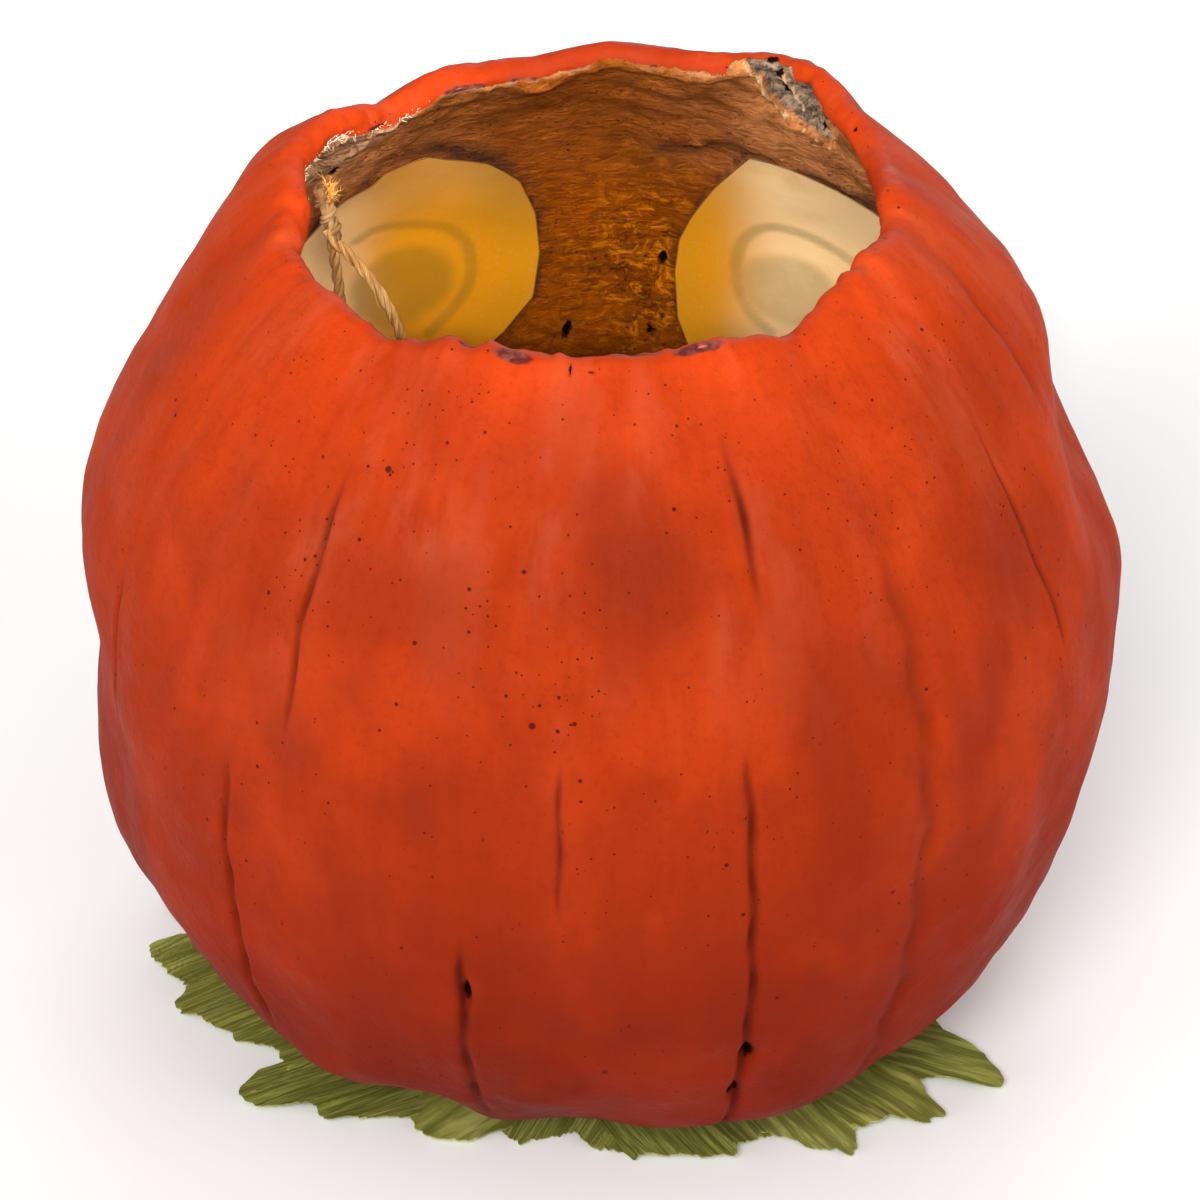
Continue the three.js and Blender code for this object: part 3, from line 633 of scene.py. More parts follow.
class Finish:
    """A material, with short ways to add the nodes that this file uses."""

    def __init__(self, name):
        self.material = bpy.data.materials.new(name)
        self.material.use_nodes = True
        self.tree = self.material.node_tree
        self.tree.nodes.clear()
        self.where = self.node("TexCoord", {}, "Object")

    def node(self, kind, inputs, output=0, **settings):
        """Adds a node with its settings and its inputs, and returns one of its outputs."""
        node = self.tree.nodes.new("ShaderNode" + kind)
        for name, value in settings.items():
            setattr(node, name, value)
        for name, value in inputs.items():
            if isinstance(value, bpy.types.NodeSocket):
                self.tree.links.new(value, node.inputs[name])
            else:
                node.inputs[name].default_value = value
        return node.outputs[output]

    def attribute(self, name, output="Fac"):
        return self.node("Attribute", {}, output, attribute_name=name)

    def scaled(self, vector, *scale):
        return self.node("VectorMath", {0: vector, 1: scale}, operation="MULTIPLY")

    def noise(self, vector, scale, detail, roughness, distortion=0.0):
        return self.node("TexNoise", {
            "Vector": vector, "Scale": scale, "Detail": detail, "Roughness": roughness,
            "Distortion": distortion,
        })

    def cells(self, vector, scale, output="Distance"):
        return self.node("TexVoronoi", {"Vector": vector, "Scale": scale}, output)

    def math(self, operation, *values):
        """Joins two or more values, from left to right."""
        total = values[0]
        for value in values[1:]:
            total = self.node("Math", {0: total, 1: value}, operation=operation)
        return total

    def times(self, *values):
        return self.math("MULTIPLY", *values)

    def plus(self, *values):
        return self.math("ADD", *values)

    def wavering(self, value, noise, amount):
        """A value moved up and down by a noise, for ragged edges."""
        return self.plus(value, self.times(self.math("SUBTRACT", noise, 0.5), amount))

    def step(self, value, low, high, to_low=0.0, to_high=1.0):
        """Turns a value between low and high into a smooth step."""
        return self.node("MapRange", {
            "Value": value, "From Min": low, "From Max": high, "To Min": to_low, "To Max": to_high,
        }, interpolation_type="SMOOTHSTEP")

    def patches(self, vector, scale, detail, roughness, *step):
        """A noise cut into patches with soft edges."""
        return self.step(self.noise(vector, scale, detail, roughness), *step)

    def mix(self, share, a, b, blend="MIX"):
        """Goes from colour a to colour b; a colour is a socket, or red, green and blue from 0 to 255."""
        a, b = (linear(colour) if isinstance(colour, tuple) else colour for colour in (a, b))
        return self.node("Mix", {0: share, 6: a, 7: b}, 2, data_type="RGBA", blend_type=blend)

    def layered(self, colour, *layers):
        """Lays colours over one another, each with the share of it that covers what is below."""
        for share, over in layers:
            colour = self.mix(share, colour, over)
        return colour

    def dots(self, vector, scale, smallest, largest, share):
        """Round dots scattered at random, 1 inside and 0 outside; sizes are in metres, and share is how
        many of the places for one are taken."""
        colour = self.cells(vector, scale, "Color")
        chance = self.node("SeparateColor", {0: colour}).node.outputs
        taken = self.math("GREATER_THAN", self.plus(chance[0], share), 1.0)
        size = self.times(self.step(chance[1], 0.0, 1.0, smallest * scale, largest * scale), taken)
        edge = self.math("SUBTRACT", colour.node.outputs["Distance"], size)
        return self.step(edge, -0.00012 * scale, 0.00008 * scale, 1.0, 0.0)

    def spots(self, places, size):
        """1 within a size of the nearest of the (azimuth, height) places on the outer wall."""
        away = []
        for azimuth, level in places:
            ends = {0: self.where, 1: outer_point(azimuth, level * MM)}
            away.append(self.node("VectorMath", ends, "Value", operation="DISTANCE"))
        return self.step(self.math("MINIMUM", *away), size * 0.6, size * 1.3, 1.0, 0.0)

    def principled(self, colour, roughness, relief, specular):
        """A plain surface with a bump whose height is in metres."""
        inputs = {"Base Color": colour, "Roughness": roughness, "Specular IOR Level": specular}
        if relief is not None:
            inputs["Normal"] = self.node("Bump", {"Strength": 1.0, "Distance": 1.0, "Height": relief})
        return self.node("BsdfPrincipled", inputs)

    def done(self, shader):
        output = self.tree.nodes.new("ShaderNodeOutputMaterial")
        self.tree.links.new(shader, output.inputs["Surface"])
        return self.material


def paint_colour(f, skin, height, bruised):
    """Matte orange-red paint, brighter and more orange towards the top, with painted shade towards the foot,
    and its pores.
    """
    where = f.where
    brush = f.noise(f.scaled(skin, 1, 1, 0.16), 190, 3, 0.6)
    veil = f.patches(f.scaled(skin, 1, 1, 0.4), 46, 4, 0.62, 0.48, 0.70)
    dry = f.patches(f.scaled(skin, 1, 1, 0.5), 120, 3, 0.65, 0.38, 0.68)
    washed_and_shaded = f.plus(f.attribute("wash_and_shade"), f.patches(where, 46, 3, 0.6, 0.55, 0.8, 0.0, 0.25))
    # Fine pores in clusters, some wider ones, and those that are placed one by one, all painted dark as the
    # shade in them.
    crowd = f.times(f.attribute("porous"), f.patches(where, 60, 3, 0.6, 0.38, 0.60))
    pores = f.math(
        "MAXIMUM",
        f.dots(where, 600, 0.00014, 0.00034, f.plus(f.times(crowd, 0.75), 0.10)),
        f.dots(where, 240, 0.00028, 0.00056, f.plus(f.times(crowd, 0.5), 0.08)),
        f.spots(PORES, PORE_SIZE),
        f.spots(WIDE_PORES, WIDE_PORE_SIZE),
    )
    deep = f.patches(where, 14, 3, 0.62, 0.34, 0.60, 0.36, 0.0)
    # Darker and redder towards the foot, here and in the warmer layer below: partly the paint's own tone,
    # partly painted shade.
    paint = f.mix(f.step(height, 0.0, 0.22), (102, 19, 3), (168, 50, 8))
    paint = f.layered(
        f.mix(deep, paint, (176, 158, 150), "MULTIPLY"),
        (f.patches(f.scaled(where, 1, 1, 0.7), 30, 3, 0.55, 0.44, 0.70, 0.0, 0.42),
         f.mix(f.step(height, 0.02, 0.16), (134, 31, 3), (196, 62, 9))),
        (f.step(brush, 0.42, 0.75, 0.0, 0.18), (118, 30, 6)),
        (f.patches(where, 460, 2, 0.6, 0.50, 0.70, 0.0, 0.22), (120, 28, 5)),
        (f.times(veil, f.step(height, 0.12, 0.205, 0.03, 0.26)), (182, 84, 54)),
        (f.times(f.attribute("pale"), dry, 0.30), (196, 104, 76)),
        # dark washes, and painted shade over the far rim's top
        (f.times(washed_and_shaded, 0.62), (122, 34, 12)),
        # pores painted dark as the shade in them
        (f.times(pores, 0.88), (56, 13, 5)),
        # painted shade in the grooves
        (f.times(f.attribute("groove"), 0.86), (80, 22, 8)),
    )
    if bruised:
        smudge = f.attribute("smudge")
        bruise = f.mix(f.patches(where, 240, 3, 0.6, 0.42, 0.66), (66, 26, 24), (120, 68, 62))
        # The bruises' pink middles are painted highlights.
        painted_highlight = f.times(f.step(smudge, 0.74, 0.95), f.patches(where, 300, 3, 0.6, 0.5, 0.6))
        ragged = f.step(f.wavering(smudge, f.noise(where, 170, 4, 0.65), 0.9), 0.28, 0.52)
        paint = f.mix(f.times(ragged, 0.9), paint, f.mix(painted_highlight, bruise, (206, 104, 88)))
    return paint, brush


def pulp_colour(f, skin, torn_places):
    """Brown paper fibres that lie level round the wall, with a golden painted glow low on the far wall and
    painted light high on the sides, and the torn places.
    """
    where, grain = f.where, f.scaled(skin, 1, 1, 2.6)
    glow_and_stains, tan = f.attribute("glow_and_stains"), f.attribute("tan")
    fibres, light_fibres = f.noise(grain, 150, 5, 0.7, 0.6), f.noise(grain, 260, 4, 0.7, 0.9)
    glow = f.step(f.noise(where, 190, 5, 0.7, 1.1), 0.50, 0.62)
    burnt = f.step(f.noise(where, 230, 5, 0.75, 0.8), 0.53, 0.62)
    specks = f.step(f.cells(where, 420), 0.10, 0.30, 1.0, 0.0)
    specks = f.times(specks, f.patches(where, 80, 3, 0.5, 0.50, 0.64))
    pulp = f.layered(
        # paler tan high on the sides: painted light from the open top
        f.mix(tan, (158, 76, 2), (204, 134, 80)),
        (f.step(f.noise(where, 58, 5, 0.65, 0.4), 0.38, 0.66, 0.0, 0.6), (120, 56, 2)),
        # painted glow of light bounced about inside, strongest low on the far wall
        (f.times(glow, f.plus(f.times(glow_and_stains, 0.8), 0.12)), (236, 136, 2)),
        (f.step(fibres, 0.42, 0.64, 0.0, 0.5), (96, 44, 6)),
        (f.step(light_fibres, 0.56, 0.72, 0.0, 0.5), f.mix(tan, (190, 108, 16), (226, 178, 128))),
        (f.times(f.math("MAXIMUM", specks, f.times(burnt, glow_and_stains)), 0.75), (40, 18, 4)),
    )
    if torn_places:
        # Torn pulp is porous and grey, with cream ridges; its pores are painted dark as the shade in them.
        grit = f.noise(where, 260, 5, 0.75)
        torn = f.mix(f.step(grit, 0.38, 0.62), (80, 64, 54), (158, 132, 108))
        holes = f.times(f.step(f.cells(where, 620), 0.12, 0.34, 1.0, 0.0), 0.7)
        frayed = f.mix(f.step(fibres, 0.38, 0.60), (116, 74, 48), (194, 146, 106))
        grey = f.wavering(f.attribute("grey"), fibres, 0.9)
        cream = f.wavering(f.attribute("cream"), grit, 0.9)
        pulp = f.layered(
            pulp,
            (f.step(grey, 0.35, 0.65), f.mix(holes, torn, (40, 28, 24))),
            (f.times(f.attribute("fray"), 0.85), frayed),
            (f.step(cream, 0.44, 0.74, 0.0, 0.85), (206, 174, 130)),
        )
    # Painted shade under the ledge and along the eye papers.
    return f.mix(f.times(f.attribute("painted_shade"), 0.85), pulp, (50, 34, 30)), fibres, light_fibres


def shell_finish(name, painted, bare):
    """Orange-red paint brushed over rough paper pulp, the bare pulp inside, or both where the paint ends.

    Relief is in metres: soft brush marks in the paint, coarse fibres in the pulp."""
    f = Finish(name)
    where, skin = f.where, f.attribute("skin", "Vector")
    if painted:
        height = f.node("SeparateXYZ", {0: where}, "Z")
        colour, brush = paint_colour(f, skin, height, bare)
        relief = f.plus(f.times(f.noise(where, 120, 4, 0.6), 0.0008), f.times(brush, 0.00012))
        roughness = f.patches(where, 55, 2, 0.6, 0.3, 0.7, 0.56, 0.72)
    if bare:
        pulp, fibres, light_fibres = pulp_colour(f, skin, painted)
        pulp_relief = f.plus(f.times(fibres, 0.0019), f.times(light_fibres, 0.0008))
    if painted and bare:
        # The paint ends in a ragged line at the lip's inner edge, over a thin cream line of bare fibres.
        past = f.wavering(f.attribute("paint"), f.noise(where, 150, 5, 0.7), 0.006)
        covered = f.step(past, -0.00015, 0.00025)
        edge = f.times(f.step(past, -0.0016, -0.0002), f.patches(where, 75, 3, 0.6, 0.42, 0.55), 0.3)
        colour = f.mix(covered, f.mix(edge, pulp, (206, 176, 132)), colour)
        uncovered = f.math("SUBTRACT", 1.0, covered)
        relief = f.plus(f.times(covered, f.plus(relief, 0.0003)), f.times(uncovered, pulp_relief))
        roughness = f.plus(f.times(covered, f.math("SUBTRACT", roughness, 0.88)), 0.88)
    elif bare:
        colour, relief, roughness = pulp, pulp_relief, 0.88
    # Holes, pits and cracks are painted near-black as the shade in them.
    deep = f.step(f.wavering(f.attribute("hole"), f.noise(where, 330, 3, 0.7), 1.1), 0.34, 0.60)
    return f.done(f.principled(f.mix(deep, colour, (18, 6, 3)), roughness, relief, 0.05))


def paper_finish(name, cream, amber):
    """Thin paper, cream to amber, with a drawing on the outside that shows through as a soft shade, and
    painted shade along its edges.
    """
    f = Finish(name)
    where = f.where
    tint = f.wavering(f.attribute("tint"), f.noise(where, 26, 3, 0.5), 0.35)
    fibres = f.noise(where, 520, 3, 0.7)
    # The drawing, and on the left paper also painted shade near its right edge.
    drawn = f.times(f.attribute("ink"), f.patches(where, 130, 4, 0.6, 0.25, 0.55, 0.75, 1.0))
    colour = f.layered(
        f.mix(f.step(tint, 0.0, 1.0), cream, amber),
        (f.patches(where, 48, 4, 0.6, 0.50, 0.75, 0.0, 0.30), (214, 146, 44)),
        (f.step(fibres, 0.50, 0.75, 0.0, 0.05), (255, 236, 196)),
    )
    seen = f.mix(f.times(drawn, 0.55), colour, (158, 108, 26))
    front = f.mix(f.step(drawn, 0.25, 0.55), colour, (38, 28, 22))
    colour = f.layered(
        seen,
        (f.step(f.attribute("front"), 0.45, 0.55), front),
        # painted shade along the paper's edges
        (f.step(f.attribute("border"), 0.45, 0.9, 0.0, 0.85), (84, 48, 16)),
    )
    relief = f.plus(f.times(fibres, 0.00006), f.times(f.noise(where, 70, 3, 0.5), 0.0005))
    body = f.principled(colour, 0.72, relief, 0.3)
    through = f.node("BsdfTranslucent", {"Color": colour})
    return f.done(f.node("MixShader", {0: 0.2, 1: body, 2: through}))


def crepe_finish(name, main, light, dark):
    """Crepe paper: fine close ridges and wider wrinkles along the grain, with painted light on their crests
    and painted shade in their troughs.
    """
    f = Finish(name)
    grain = f.attribute("grain", "Vector")
    ridges = f.noise(f.scaled(grain, 40, 900, 1), 1.0, 4, 0.62, 0.25)
    wide = f.noise(f.scaled(grain, 16, 190, 1), 1.0, 3, 0.55)
    colour = f.layered(
        # painted light and shade that follow the relief of the ridges and wrinkles
        f.mix(f.step(wide, 0.36, 0.66, 0.0, 0.75), main, light),
        (f.step(ridges, 0.42, 0.60, 0.7, 0.0), dark),
        (f.step(ridges, 0.56, 0.74, 0.0, 0.55), light),
        (f.patches(f.where, 46, 3, 0.6, 0.50, 0.74, 0.0, 0.35), (108, 110, 42)),
    )
    relief = f.plus(f.times(ridges, 0.0008), f.times(wide, 0.0006))
    return f.done(f.principled(colour, 0.86, relief, 0.15))


def hemp_finish(name, pale, deep):
    """Natural fibre: fine threads that run with the twist, with painted light on their tops and painted shade
    between them.
    """
    f = Finish(name)
    threads = f.noise(f.scaled(f.attribute("lay", "Vector"), 7, 7, 60), 1.0, 5, 0.75)
    # painted light on the threads' tops and painted shade between them
    colour = f.mix(f.step(threads, 0.40, 0.60), deep, pale)
    colour = f.mix(f.patches(f.where, 90, 3, 0.6, 0.48, 0.72, 0.0, 0.35), colour, (226, 186, 124))
    return f.done(f.principled(colour, 0.8, f.times(threads, 0.0003), 0.3))


# --- the shell

FOOT_RINGS = (0.3, 0.6, 0.85)
FINE_HEIGHTS = (0.040, 0.0545, 0.0787)  # the deep pits
LIP_ROWS = 13
INNER_ROWS = 58
LIP_RUN = math.pi * LIP_THICKNESS / 2
PAINT_RAGGED = 0.0037  # the painted edge wavers less than this
KNIFE_STEP, KNIFE_WAVER = 3 * MM, 0.22 * MM
KNIFE_DEPTHS = (0.040, 0.095, 0.150)


def outer_shares():
    """Where the rows of the outer wall lie, from the foot to the lip: closer at the pits and the lip."""
    shares = [*np.linspace(0, 0.90, 84), *np.linspace(0.90, 1, 14)[1:]]
    rim = float(rim_of(np.array([0.0]))[0])
    for level in FINE_HEIGHTS:
        q = halved(np.array(FOOT_Q), np.array(0.0), lambda middle: profile(middle)[1] < level)
        share = (float(q) - FOOT_Q) / (rim - FOOT_Q)
        shares += [share + offset for offset in (-0.0075, -0.0025, 0.0025, 0.0075)]
    return np.array(sorted(shares))


def shell_sections():
    """Points of the shell's smooth form, rows by columns, with each one's azimuth and run over the lip.

    The run is the way from the outer start of the lip: below 0 on the outer wall, and in metres."""
    columns, shares = shell_columns(), outer_shares()[:, None]
    azimuth = columns_at(columns, profile(lerp(FOOT_Q, rim_of(columns), shares))[1])
    radius, height, out, up = outside(azimuth, lerp(FOOT_Q, rim_of(azimuth), shares))
    foot = np.array([place(azimuth[0], radius[0] * share, 0) for share in FOOT_RINGS])
    wall = place(azimuth, radius, height)
    run = run_along(wall)
    run -= run[-1]

    top, radius, height, out, up = (grid[-1] for grid in (azimuth, radius, height, out, up))
    half = LIP_THICKNESS / 2
    angle = (math.pi * np.arange(1, LIP_ROWS) / LIP_ROWS)[:, None]
    outward, over = half * (np.cos(angle) - 1), half * np.sin(angle)
    lip = place(top, radius + outward * out - over * up, height + outward * up + over * out)

    low = np.linspace(0, 1, INNER_ROWS + 1)[:, None] ** 1.35
    thick = lerp(WALL, LIP_THICKNESS, bell(low, 0.05))
    inner_radius, inner_height = inside(top, lerp(rim_of(top), FOOT_Q, low), thick)
    inner = place(top, inner_radius, inner_height)
    inner_run = LIP_RUN + run_along(inner)
    floor = np.array([place(top, inner_radius[-1] * share, FLOOR_HEIGHT) for share in FOOT_RINGS[::-1]])

    def rows(values, like):
        return np.broadcast_to(values, like.shape[:2])

    points = np.concatenate([foot, wall, lip, inner, floor])
    azimuths = [rows(azimuth[0], foot), azimuth, rows(top, lip), rows(top, inner), rows(top, floor)]
    runs = [rows(run[0], foot), run, rows(half * angle, lip), inner_run, rows(inner_run[-1], floor)]
    return points, np.concatenate(azimuths), np.concatenate(runs)


def unevenness(points, *waves):
    """Ripples added up, each given as its height and wavelength in mm and its seed."""
    return sum(rise * MM * ripple(points, length * MM, seed) for rise, length, seed in waves)


def shell_form():
    """The shell's points with all their relief, and the fields of numbers that its materials read."""
    points, azimuth, run = shell_sections()
    radius, height = np.hypot(points[..., 0], points[..., 1]), points[..., 2]
    outer = 1 - smooth(-0.002, LIP_RUN * 0.5, run)
    inner = smooth(LIP_RUN * 0.45, LIP_RUN + 0.001, run)
    on_lip = np.clip(1 - outer - inner, 0, 1) + 0.6 * bell(run, 0.004)
    bare = smooth(0.2 * LIP_RUN, 0.4 * LIP_RUN, run)

    dug, groove, hole = groove_relief(azimuth, radius, height)
    relief = outer * smooth(0.0, 0.006, height) * (unevenness(points, (0.45, 48, 11), (0.10, 15, 12)) + dug)
    relief += on_lip * unevenness(points, (0.40, 22, 13), (0.14, 5.5, 14))
    for middle, half_width, rise in LIP_BUMPS:
        bump = bell(turn(azimuth, middle), half_width) * bell(run - 0.42 * LIP_RUN, 0.45 * LIP_RUN)
        relief += rise * MM * bump
    cracks = np.clip(marks(CRACKS, azimuth, RIM_RADIUS, run), 0, 1)
    relief -= 0.6 * MM * cracks

    marked, grey, cream, dark, fray, inner_hole = inner_marks(azimuth, radius, height)
    level = points * np.array([1, 1, 3.2])
    under_paper = (points[..., 1] > 0.05) * bell(turn(azimuth, 180), 50) * (height < 0.168)
    rough = (1 - 0.6 * under_paper) * unevenness(level, (0.40, 20, 15), (0.22, 7, 16))
    relief += inner * smooth(FLOOR_HEIGHT, FLOOR_HEIGHT + 0.01, height) * (rough + marked)
    relief += inner * (grey + 0.7 * fray) * unevenness(level, (0.45, 10, 17), (0.25, 5, 18))
    near_cut = outline_distance(FACE_CUTS, points[..., 0], height)
    relief -= (points[..., 1] > 0.04) * (run < 0) * 1.0 * MM * bell(near_cut, 2.2 * MM)

    turned = azimuth % 360
    pocket = smooth(139, 142, turned) * smooth(-155, -152, -turned)
    far = bell(turn(azimuth, 176), 38)
    paint_end = np.minimum(lerp(0.88, 0.66, far), lerp(1, 0.45, pocket)) * LIP_RUN
    pale_band = bell(turn(azimuth, -118), 34) + bell(turn(azimuth, 140), 24)
    fields = {
        "paint": paint_end - run,
        # painted shade in the grooves
        "groove": groove * outer,
        # dark washes, and painted shade over the far rim's top
        "wash_and_shade": patches(DARK_WASHES_AND_SHADE, azimuth, height),
        "pale": patches(PALE_SCUFFS, azimuth, height),
        "smudge": np.clip(marks(BRUISES, azimuth, RIM_RADIUS, run), 0, 1),
        "grey": grey * bare,
        "cream": cream * bare,
        # painted shade under the ledge and painted shadow along the eye papers
        "painted_shade": np.clip(dark + paper_shade(points), 0, 1) * bare,
        "fray": fray * bare,
        # holes, pits and cracks, painted dark as the shade in them
        "hole": np.clip(hole * outer + inner_hole * bare + cracks, 0, 1),
        "porous": patches(POROUS, azimuth, height),
        # where the lower far wall has its painted glow and its dark stains
        "glow_and_stains": bell(turn(azimuth, 173), 9) * bell(height - 0.128, 0.030),
        # paler tan high on the sides, painted light from the open top
        "tan": bare * smooth(0.150, 0.185, height) * np.clip(pale_band, 0, 1),
    }
    fields = {name: with_poles(values, values[0, 0], values[-1, 0]) for name, values in fields.items()}
    skin = np.concatenate([place(azimuth, WAIST_RADIUS, 0)[..., :2], run[..., None]], -1)
    fields["skin"] = with_poles(skin, [0, 0, run[0, 0]], [0, 0, run[-1, 0]])
    points = points + grid_normals(points, True) * relief[..., None]
    points[..., 2] = np.maximum(points[..., 2], 0)
    return points, fields


def with_poles(values, at_foot, at_floor):
    """A grid of values as a list, followed by those in the middle of the foot and of the floor."""
    return np.concatenate([values.reshape(-1, *values.shape[2:]), [at_foot, at_floor]])


def shell_faces(rows, columns):
    """The grid's quads, and the fans of triangles that close the foot and the floor."""
    across = np.arange(columns)
    onward = (across + 1) % columns
    last, pole = (rows - 1) * columns, rows * columns
    foot = stacked(pole, onward, across)
    floor = stacked(pole + 1, last + across, last + onward)
    return [*grid_faces(rows, columns, True).tolist(), *foot.tolist(), *floor.tolist()]


def make_shell():
    points, fields = shell_form()
    finishes = [
        shell_finish("painted_edge", True, True), shell_finish("painted_pulp", True, False),
        shell_finish("bare_pulp", False, True),
    ]
    corners = with_poles(points, [0, 0, 0], [0, 0, FLOOR_HEIGHT])
    made = new_object("shell_pulp", corners, shell_faces(*points.shape[:2]), finishes)

    # The costly finish with both paint and pulp is only where the paint ends or something is marked.
    paint, marked = fields["paint"], fields["smudge"] + fields["grey"] + fields["cream"] + fields["fray"]
    kinds = []
    for face in made.data.polygons:
        around = list(face.vertices)
        plain = marked[around].max() < 0.02
        most, least = paint[around].max(), paint[around].min()
        kinds.append(1 if plain and least > PAINT_RAGGED else 2 if plain and most < -PAINT_RAGGED else 0)
    made.data.polygons.foreach_set("material_index", kinds)
    set_attributes(made, **fields)
    cut_face(made)
    made.data.set_sharp_from_angle(angle=math.radians(50))
    finish_piece(made, "painted_pulp", "shell")


def plug(outline, seed):
    """A closed plug through the front wall, with the slightly wavering sides of a hand-held knife."""
    random = np.random.default_rng(seed)
    sides = []
    for (x0, z0), (x1, z1) in zip(outline, outline[1:] + outline[:1]):
        pieces = max(2, round(math.hypot(x1 - x0, z1 - z0) / KNIFE_STEP))
        for k in range(pieces):
            waver = random.normal(size=2) * (KNIFE_WAVER if k else 0)
            sides.append((lerp(x0, x1, k / pieces) + waver[0], lerp(z0, z1, k / pieces) + waver[1]))
    count = len(sides)
    walls = grid_faces(len(KNIFE_DEPTHS), count, True)[:, [1, 0, 3, 2]].tolist()
    ends = [list(range(count)), list(range(3 * count - 1, 2 * count - 1, -1))]
    return [(x, y, z) for y in KNIFE_DEPTHS for x, z in sides], ends + walls


def cut_face(shell):
    """Cuts the eyes, the nose and the mouth through the front wall."""
    points, faces = [], []
    for seed, outline in enumerate(FACE_CUTS):
        more_points, more_faces = plug(outline, seed)
        faces += [[len(points) + i for i in face] for face in more_faces]
        points += more_points
    cutter = new_object("cutter", points, faces, [], False)
    set_attributes(cutter, paint=np.full(len(points), 0.004))
    cut = shell.modifiers.new("cut", "BOOLEAN")
    cut.operation = "DIFFERENCE"
    cut.solver = "MANIFOLD"
    cut.object = cutter
    graph = bpy.context.evaluated_depsgraph_get()
    mesh = bpy.data.meshes.new_from_object(shell.evaluated_get(graph), depsgraph=graph)
    shell.modifiers.clear()
    old, shell.data = shell.data, mesh
    bpy.data.meshes.remove(old)
    bpy.data.objects.remove(cutter)


make_shell()

# --- thin sheets


def sheet_object(name, upper, thickness, material, **fields):
    """A closed thin sheet under a grid of points; its first half of vertices is the upper face."""
    rows, columns = upper.shape[:2]
    count = rows * columns
    lower = upper - grid_normals(upper, False) * thickness
    under = grid_faces(rows, columns, False, count)[:, ::-1]
    index = np.arange(count).reshape(rows, columns)
    edge = np.concatenate([index[0, :-1], index[:-1, -1], index[-1, :0:-1], index[:0:-1, 0]])
    onward = np.roll(edge, -1)
    rim = stacked(onward, edge, edge + count, onward + count)
    faces = np.vstack([grid_faces(rows, columns, False), under, rim])
    made = new_object(name, [upper, lower], faces.tolist(), [material])
    made.data.set_sharp_from_angle(angle=math.radians(55))
    both = {field: np.concatenate([values.reshape(count, -1)] * 2) for field, values in fields.items()}
    set_attributes(made, **both)
    return made


# --- papers behind the face

PAPER_THICKNESS = 0.3 * MM
PAPER_GAP = 0.9 * MM
NOSE_PAPER = in_metres(((-18, 66.5), (18, 66.5), (17, 80), (8, 91.5), (-8, 91.5), (-17, 80)))
MOUTH_PAPER = in_metres((
    (-64, 58), (-61, 66), (61, 66), (64, 58), (54, 42), (34, 30), (10, 25), (-10, 25), (-34, 30),
    (-54, 42),
))
# The drawn eyes: middle and half-widths of the pupil and how dark it is, the line round it, how far
# the paper curls off the wall, and from where to where it turns amber towards the nose.
EYES = {
    "left": {
        "pupil": (-53.2, 131, 15, 15), "dark": 0.85, "curl": 1.7, "amber": (-77, -49),
        "line": (
            (-63.9, 153.8), (-59.8, 155.7), (-55.2, 155.2), (-47.3, 152.4), (-40.6, 148.9),
            (-36.8, 144), (-34.8, 137.1), (-34.7, 130.4), (-36.2, 124.6), (-40.3, 118.2), (-46.3, 112.3),
        ),
    },
    "right": {
        "pupil": (51, 128.5, 14.5, 13.5), "dark": 0.66, "curl": 1.3, "amber": (-54, -26),
        "line": (
            (68.4, 145.4), (64.6, 147.2), (59.5, 149.3), (52.8, 151.2), (47, 151.7), (42.4, 149.5),
            (38.9, 144.9), (37, 138.7), (36.7, 131.2), (38, 123.6), (42.2, 115.6), (45.8, 112.8),
        ),
    },
}
EYE_LINE_HALF = 1.6 * MM


def span_at(outline, height):
    """The widest stretch of x that an (x, height) outline covers at a height."""
    crossings = []
    for (x0, z0), (x1, z1) in zip(outline, outline[1:] + outline[:1]):
        if (z0 <= height) != (z1 <= height):
            crossings.append(lerp(x0, x1, (height - z0) / (z1 - z0)))
    return min(crossings), max(crossings)


def paper_grid(outline, rows, columns, curl):
    """A paper that follows the inner wall, lifts off it towards the top and buckles a little."""
    heights = [point[1] for point in outline]
    bottom, top = min(heights), max(heights)
    levels = lerp(bottom, top, np.clip(np.linspace(0, 1, rows), 0.004, 0.996))
    x = np.array([np.linspace(*span_at(outline, level), columns) for level in levels])
    height = np.repeat(levels[:, None], columns, axis=1)
    lifted = smooth(0.55, 1.0, (height - bottom) / (top - bottom))
    buckled = 0.22 * MM * (1 + ripple(stacked(x, 0, height), 0.030, 31)) * smooth(0, 1, lifted + 0.5)
    distance = PAPER_GAP + PAPER_THICKNESS + curl * MM * lifted + buckled
    return inner_point(x.ravel(), height.ravel(), distance.ravel()).reshape(rows, columns, 3)


def finish_paper(name, grid, material, node, **fields):
    """A paper whose drawing is on its outer side, so that the inside of the lantern sees its back."""
    made = sheet_object(name, grid, PAPER_THICKNESS, material, **fields)
    set_attributes(made, front=np.repeat([0.0, 1.0], grid[..., 0].size))
    finish_piece(made, "window_paper", node)


